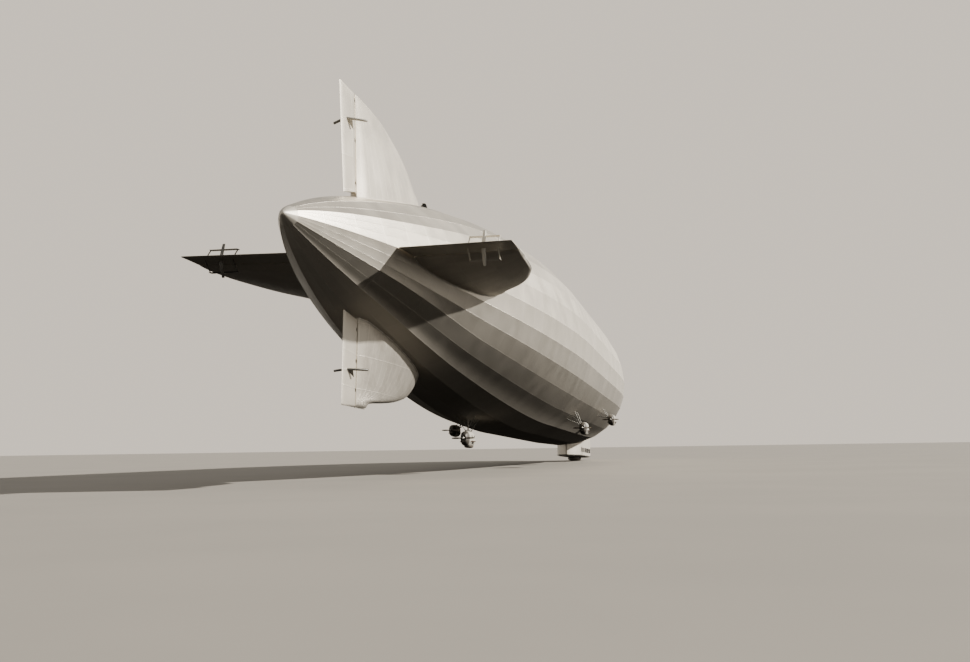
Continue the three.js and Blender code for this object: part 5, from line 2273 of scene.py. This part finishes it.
    def make_walls(self, paints: Paints) -> None:
        """Outer walls with their windows, split where the real panels meet.

        Args:
            paints: All finishes.
        """
        walls = self.prism("walls", 0.0, self.floor_top + 0.0003, self.wall_top)
        carve(walls, self.prism("inside", self.wall, self.floor_top - 0.1, self.wall_top + 0.1))
        carve(walls, self.plugs(0.0))
        carve(walls, hull_cutter(-0.006, 17.5, 23.3))
        for name, node, start, end, sides in (
            ("stern_wall", "stern", self.stern - 1, self.stern_split, (-1, 1)),
            ("bow_wall", "bow", self.bow_split, self.bow + 1, (-1, 1)),
            ("port_wall", "port_side", self.stern_split, self.bow_split, (0, 1)),
            ("starboard_wall", "starboard_side", self.stern_split, self.bow_split, (-1, 0)),
        ):
            wall = copy_of(walls, f"gondola_{name}")
            carve(wall, block("keep", (HULL.along(start), HULL.along(end)), sides, (-3, 0)), "INTERSECT")
            if name == "starboard_wall":
                carve(wall, self.doorway(self.door_gap))
            settle(wall, AIRSHIP, paints["cabin_skin"], [f"gondola_{node}"], crease=25)
        bpy.data.objects.remove(walls)

    def make_windows(self, paints: Paints) -> None:
        """Frames and panes of all windows.

        Args:
            paints: All finishes.
        """
        low, high = self.band_low - 0.05, self.band_high + 0.05
        frames = self.jacket("gondola_window_frames", -0.0025, 0.006, low, high)
        carve(frames, self.plugs(0.0045), "INTERSECT")
        carve(frames, self.plugs(-0.0005))
        parts = [frames]
        for start, width in self.windows:
            x = HULL.along(start + width / 2)
            for y in (side * self.half for side in SIDES):
                if width > self.mullion_over:
                    band = (self.band_low, self.band_high)
                    parts.append(block("mullion", about(x, 0.0022), (y - 0.004, y + 0.002), band, 0.0008))
                level = about(self.band_high - 0.024, 0.0018)
                parts.append(block("bar", about(x, width / 2), (y - 0.0035, y + 0.0015), level, 0.0007))
        settle(merge("gondola_window_frames", parts), AIRSHIP, paints["frame"])
        panes = carve(self.jacket("gondola_panes", 0.003, 0.0045, low, high), self.plugs(0.001), "INTERSECT")
        settle(panes, AIRSHIP, paints["glass"])

    def make_floor(self, paints: Paints) -> None:
        """Floor with its rounded keel edge, and the handling rail along it.

        Args:
            paints: All finishes.
        """
        middle = HULL.along((self.stern + self.bow) / 2)
        plan = self.outline(0.0)
        rings = []
        for share in (step / 6 for step in range(7)):
            inset = self.tuck * 4 * (1 - share) ** 2 / self.half
            z = lerp(self.floor_top - self.floor_thick, self.floor_top, share)
            rings.append([
                Vector((middle + (p.x - middle) * (1 - inset / 10), p.y * (1 - inset / 2), z)) for p in plan
            ])
        settle(loft("gondola_keel", rings), AIRSHIP, paints["panel"], ["gondola_floor"], crease=40)
        level = self.floor_top - self.rail_out
        rail = [Vector((*point, level)) for point in self.outline(-self.rail_out)[6:-6]]
        sides = [
            Vector((HULL.along(station), side * (self.half + self.rail_out), level))
            for station in self.bracket_stations for side in SIDES
        ]
        parts = [tube("rail", rail, 0.0032, 8)]
        for foot in (*rail[2:-2:3], *sides):
            inward = Vector((0, -math.copysign(1, foot.y), 0)) if abs(foot.y) > 0.05 else Vector((-1, 0, 0))
            parts.append(tube("bracket", [foot, foot + inward * self.bracket_length], 0.0022, 6))
        settle(merge("gondola_handling_rail", parts), AIRSHIP, paints["steel"])

    def make_mouldings(self, paints: Paints) -> None:
        """Belt mouldings round the walls, broken at the door.

        Args:
            paints: All finishes.
        """
        bands = [self.jacket("band", -wide * 0.8, 0.002, z - wide, z + wide) for z, wide in self.belts]
        belt = carve(merge("gondola_mouldings", bands), self.doorway(self.door_gap + 0.012))
        settle(belt, AIRSHIP, paints["rim"])

    def make_door(self, paints: Paints) -> None:
        """Trim, pane and handle on the door, and the hinge pins on the wall.

        Args:
            paints: All finishes.
        """
        x0, x1 = HULL.along(self.door_from), HULL.along(self.door_from + self.door_width)
        y = -self.half
        tall = (self.door_low + 0.002, self.door_high - 0.002)
        trim = block("trim", (x0 + 0.002, x1 - 0.013), (y - 0.0018, y + 0.001), tall, 0.001)
        for x, z in (
            ((x0 + 0.008, x1 - 0.018), (self.door_low + 0.009, self.band_low)),
            ((x0 + 0.012, x1 - 0.012), (self.band_low + 0.01, self.band_high))
        ):
            carve(trim, block("hole", x, about(y, 0.02), z, 0.001))
        grip = [Vector((x0 + 0.006, y - out, z)) for out, z in self.grip]
        parts = [trim, tube("handle", smooth_path(grip, 4), 0.0016, 8)]
        settle(merge("door_trim", parts), "door", paints["frame"])
        z = (self.band_low + 0.009, self.band_high + 0.001)
        pane = block("door_pane", (x0 + 0.011, x1 - 0.011), (y + 0.003, y + 0.0045), z, 0.0004)
        settle(pane, "door", paints["glass"])
        dress("gondola_door", paints["panel"])
        self.make_hinges(paints, x1 + self.door_gap / 2, y)

    def make_hinges(self, paints: Paints, x: float, y: float) -> None:
        """Pins of the door's hinges, with an ear and its foot at both ends of each.

        Args:
            paints: All finishes.
            x: Place of the pins.
            y: Outer face of the wall.
        """
        parts = []
        half, radius = self.hinge_pin
        ear, back = self.ear
        for level in self.hinge_levels:
            ends = [Vector((x, y - self.hinge_out, z)) for z in about(level, half)]
            parts.append(tube("pin", ends, radius, 12))
            for end in about(level, self.hinge_half):
                z = about(end, self.ear_half)
                outer = (y - self.hinge_out - ear, y - 2 * MM)
                parts.append(block("ear", (x - ear, x + back), outer, z, 0.6 * MM))
                parts.append(block("foot", (x + ear, x + back), (y - self.hinge_out, y + 2 * MM), z, 0.6 * MM))
        settle(merge("door_hinge_ears", parts), AIRSHIP, paints["steel"])

    def board(self, x: Pair, y: Pair, low: float, high: float) -> Piece:
        """Returns a board or cabinet at heights above the floor."""
        return block("board", x, y, (self.floor_top + low, self.floor_top + high), 0.002)

    def chair(self, x: float, y: float, end: int) -> list[Piece]:
        """Returns a chair with its back towards one end.

        Args:
            x: Place of its middle along the hull.
            y: Place of its middle across it.
            end: 1 for a back towards the bow, -1 towards the stern.

        Returns:
            Its parts.
        """
        deep, wide = self.seat_half
        legs_deep, legs_wide = self.chair_legs
        parts = [
            self.board(about(x, deep), about(y, wide), *self.seat_height),
            self.board(about(x + end * deep, 3 * MM), about(y, wide - MM), *self.back_height)
        ]
        for dx in SIDES:
            for dy in SIDES:
                leg = Vector((x + dx * legs_deep, y + dy * legs_wide, self.floor_top))
                tall = self.back_height[1] if dx == end else self.seat_height[0] + 2 * MM
                parts.append(tube("leg", [leg, leg + Vector((0, 0, tall))], 0.0026, 6))
        return parts

    def make_furniture(self, paints: Paints) -> None:
        """Tables and chairs of the lounge, and the chart table of the control room.

        Args:
            paints: All finishes.
        """
        parts = []
        for x in map(HULL.along, self.tables):
            for y in (side * self.table_out for side in SIDES):
                parts.append(self.board(about(x, 0.05), about(y, 0.045), 0.072, 0.077))
                leg = [Vector((x, y, self.floor_top + high)) for high in (0, 0.073)]
                parts.append(tube("leg", leg, 0.007, 10, 0.005))
                for end in SIDES:
                    parts += self.chair(x + end * self.seat_from_table, y, end)
        x = HULL.along(self.chart_table)
        parts.append(self.board(about(x, 0.04), (-0.25, -0.12), 0.085, 0.092))
        parts.append(self.board(about(x, 0.036), (-0.245, -0.125), 0.001, 0.085))
        settle(merge("gondola_furniture", parts), AIRSHIP, paints["cabin"])

    def build(self, paints: Paints) -> None:
        """Makes and dresses the pieces.

        Args:
            paints: All finishes.
        """
        for make in (
            self.make_walls, self.make_windows, self.make_floor, self.make_mouldings, self.make_door,
            self.make_furniture
        ):
            make(paints)
        for node in ("gondola_ceiling", "gondola_lounge_bulkhead", "gondola_control_bulkhead"):
            dress(node, paints["cabin"])
        for node in ("rudder_stand", "elevator_stand"):
            dress(node, paints["brass"])


# Stage


@dataclass(frozen=True)
class Stage:
    """Plain floor, soft studio light and the camera."""

    camera_place: tuple[float, float, float] = (-21.982, -3.581, -2.289)
    yaw: float = 0.197
    pitch: float = 0.129
    roll: float = 0.009
    lens: float = 42.52
    floor_touch: Pair = (7.83, -1.825)
    floor_slope: float = 0.0275
    floor_half: float = 600.0
    sun_from: tuple[float, float, float] = (0.65, -1.92, 1.0)
    sun_strength: float = 7.2
    sun_angle: float = 1.2
    backdrop: Colour = (0.95, 0.85, 0.72)
    sky_top: Colour = (0.36, 0.35, 0.335)
    sky_low: Colour = (0.92, 0.86, 0.77)
    ground: Colour = (0.018, 0.0165, 0.0145)
    floor_dark: Colour = (0.36, 0.328, 0.281)
    floor_light: Colour = (0.385, 0.35, 0.3)
    floor_rough: float = 0.85

    def make_camera(self) -> None:
        """Camera at the floor, behind and to starboard of the hull."""
        forward = Vector((
            math.cos(self.pitch) * math.cos(self.yaw), math.cos(self.pitch) * math.sin(self.yaw), math.sin(self.pitch)
        ))
        level = Vector((math.sin(self.yaw), -math.cos(self.yaw), 0))
        down = forward.cross(level)
        right = level * math.cos(self.roll) + down * math.sin(self.roll)
        up = -forward.cross(right)
        data = bpy.data.cameras.new("camera")
        data.lens = self.lens
        data.sensor_width = 36.0
        data.clip_end = 2000.0
        camera = bpy.data.objects.new("camera", data)
        bpy.context.scene.collection.objects.link(camera)
        turn = Matrix((right, up, -forward)).transposed().to_4x4()
        camera.matrix_world = Matrix.Translation(self.camera_place) @ turn
        bpy.context.scene.camera = camera

    def make_floor(self) -> None:
        """Pale floor, tilted as the ground is against the hull's axis."""
        select_only()
        bpy.ops.mesh.primitive_plane_add(size=2 * self.floor_half)
        floor = rename(bpy.context.object, "stage_floor")
        x, z = self.floor_touch
        floor.location = (x, 0, z)
        floor.rotation_euler = (0, -math.atan(self.floor_slope), 0)
        bpy.ops.object.transform_apply(location=True, rotation=True, scale=True)
        paint, graph, shader, place = start_paint("stage_floor")
        cloud = graph.noise(place, 0.6, 4.0)
        colour = graph.tint(graph.step(cloud, 0.3, 0.7), self.floor_dark, self.floor_light)
        graph.fill(shader, {"Base Color": colour, "Roughness": self.floor_rough})
        floor.data.materials.append(paint)
        floor.visible_diffuse = False
        floor.visible_glossy = False

    def make_light(self) -> None:
        """One broad key light, and a soft surround that is darker below."""
        data = bpy.data.lights.new("key", "SUN")
        data.energy = self.sun_strength
        data.angle = math.radians(self.sun_angle)
        data.color = (1.0, 0.965, 0.9)
        key = bpy.data.objects.new("key", data)
        key.rotation_mode = "QUATERNION"
        key.rotation_quaternion = Vector(self.sun_from).to_track_quat("Z", "Y")
        bpy.context.scene.collection.objects.link(key)
        world = bpy.data.worlds.new("surround")
        world.use_nodes = True
        bpy.context.scene.world = world
        graph = Graph(world.node_tree)
        graph.tree.nodes.clear()
        direction = graph.add("ShaderNodeTexCoord").outputs["Generated"]
        height = graph.split(direction)["Z"]
        upper = graph.tint(graph.step(height, 0.1, 0.42), self.sky_low, self.sky_top)
        light = graph.tint(graph.step(height, -0.05, 0.02), self.ground, upper)
        mix = graph.add("ShaderNodeMixShader")
        graph.feed(mix.inputs[0], graph.add("ShaderNodeLightPath").outputs["Is Camera Ray"])
        for socket, colour in zip(mix.inputs[1:], (light, (*self.backdrop, 1.0))):
            graph.feed(socket, graph.fill(graph.add("ShaderNodeBackground"), {"Color": colour})[0])
        graph.feed(graph.add("ShaderNodeOutputWorld").inputs["Surface"], mix.outputs[0])

    def build(self) -> None:
        """Makes the stage."""
        self.make_camera()
        self.make_floor()
        self.make_light()


def main() -> None:
    """Builds the airship's pieces in order, and the stage."""
    logging.basicConfig(level=logging.INFO, format="%(message)s")
    Stage().build()
    paints = Paints()
    Envelope().build(paints)
    for tail in TAILS:
        tail.build(paints)
    patterns = NACELLE.make(paints)
    for car in CARS:
        car.build(paints, patterns)
    for pattern in patterns.values():
        bpy.data.objects.remove(pattern)
    Bumper("rear_car_bumper", 3).build(paints)
    Bumper("gondola_bumper", 5).build(paints)
    Gondola().build(paints)


if __name__ == "__main__":
    main()
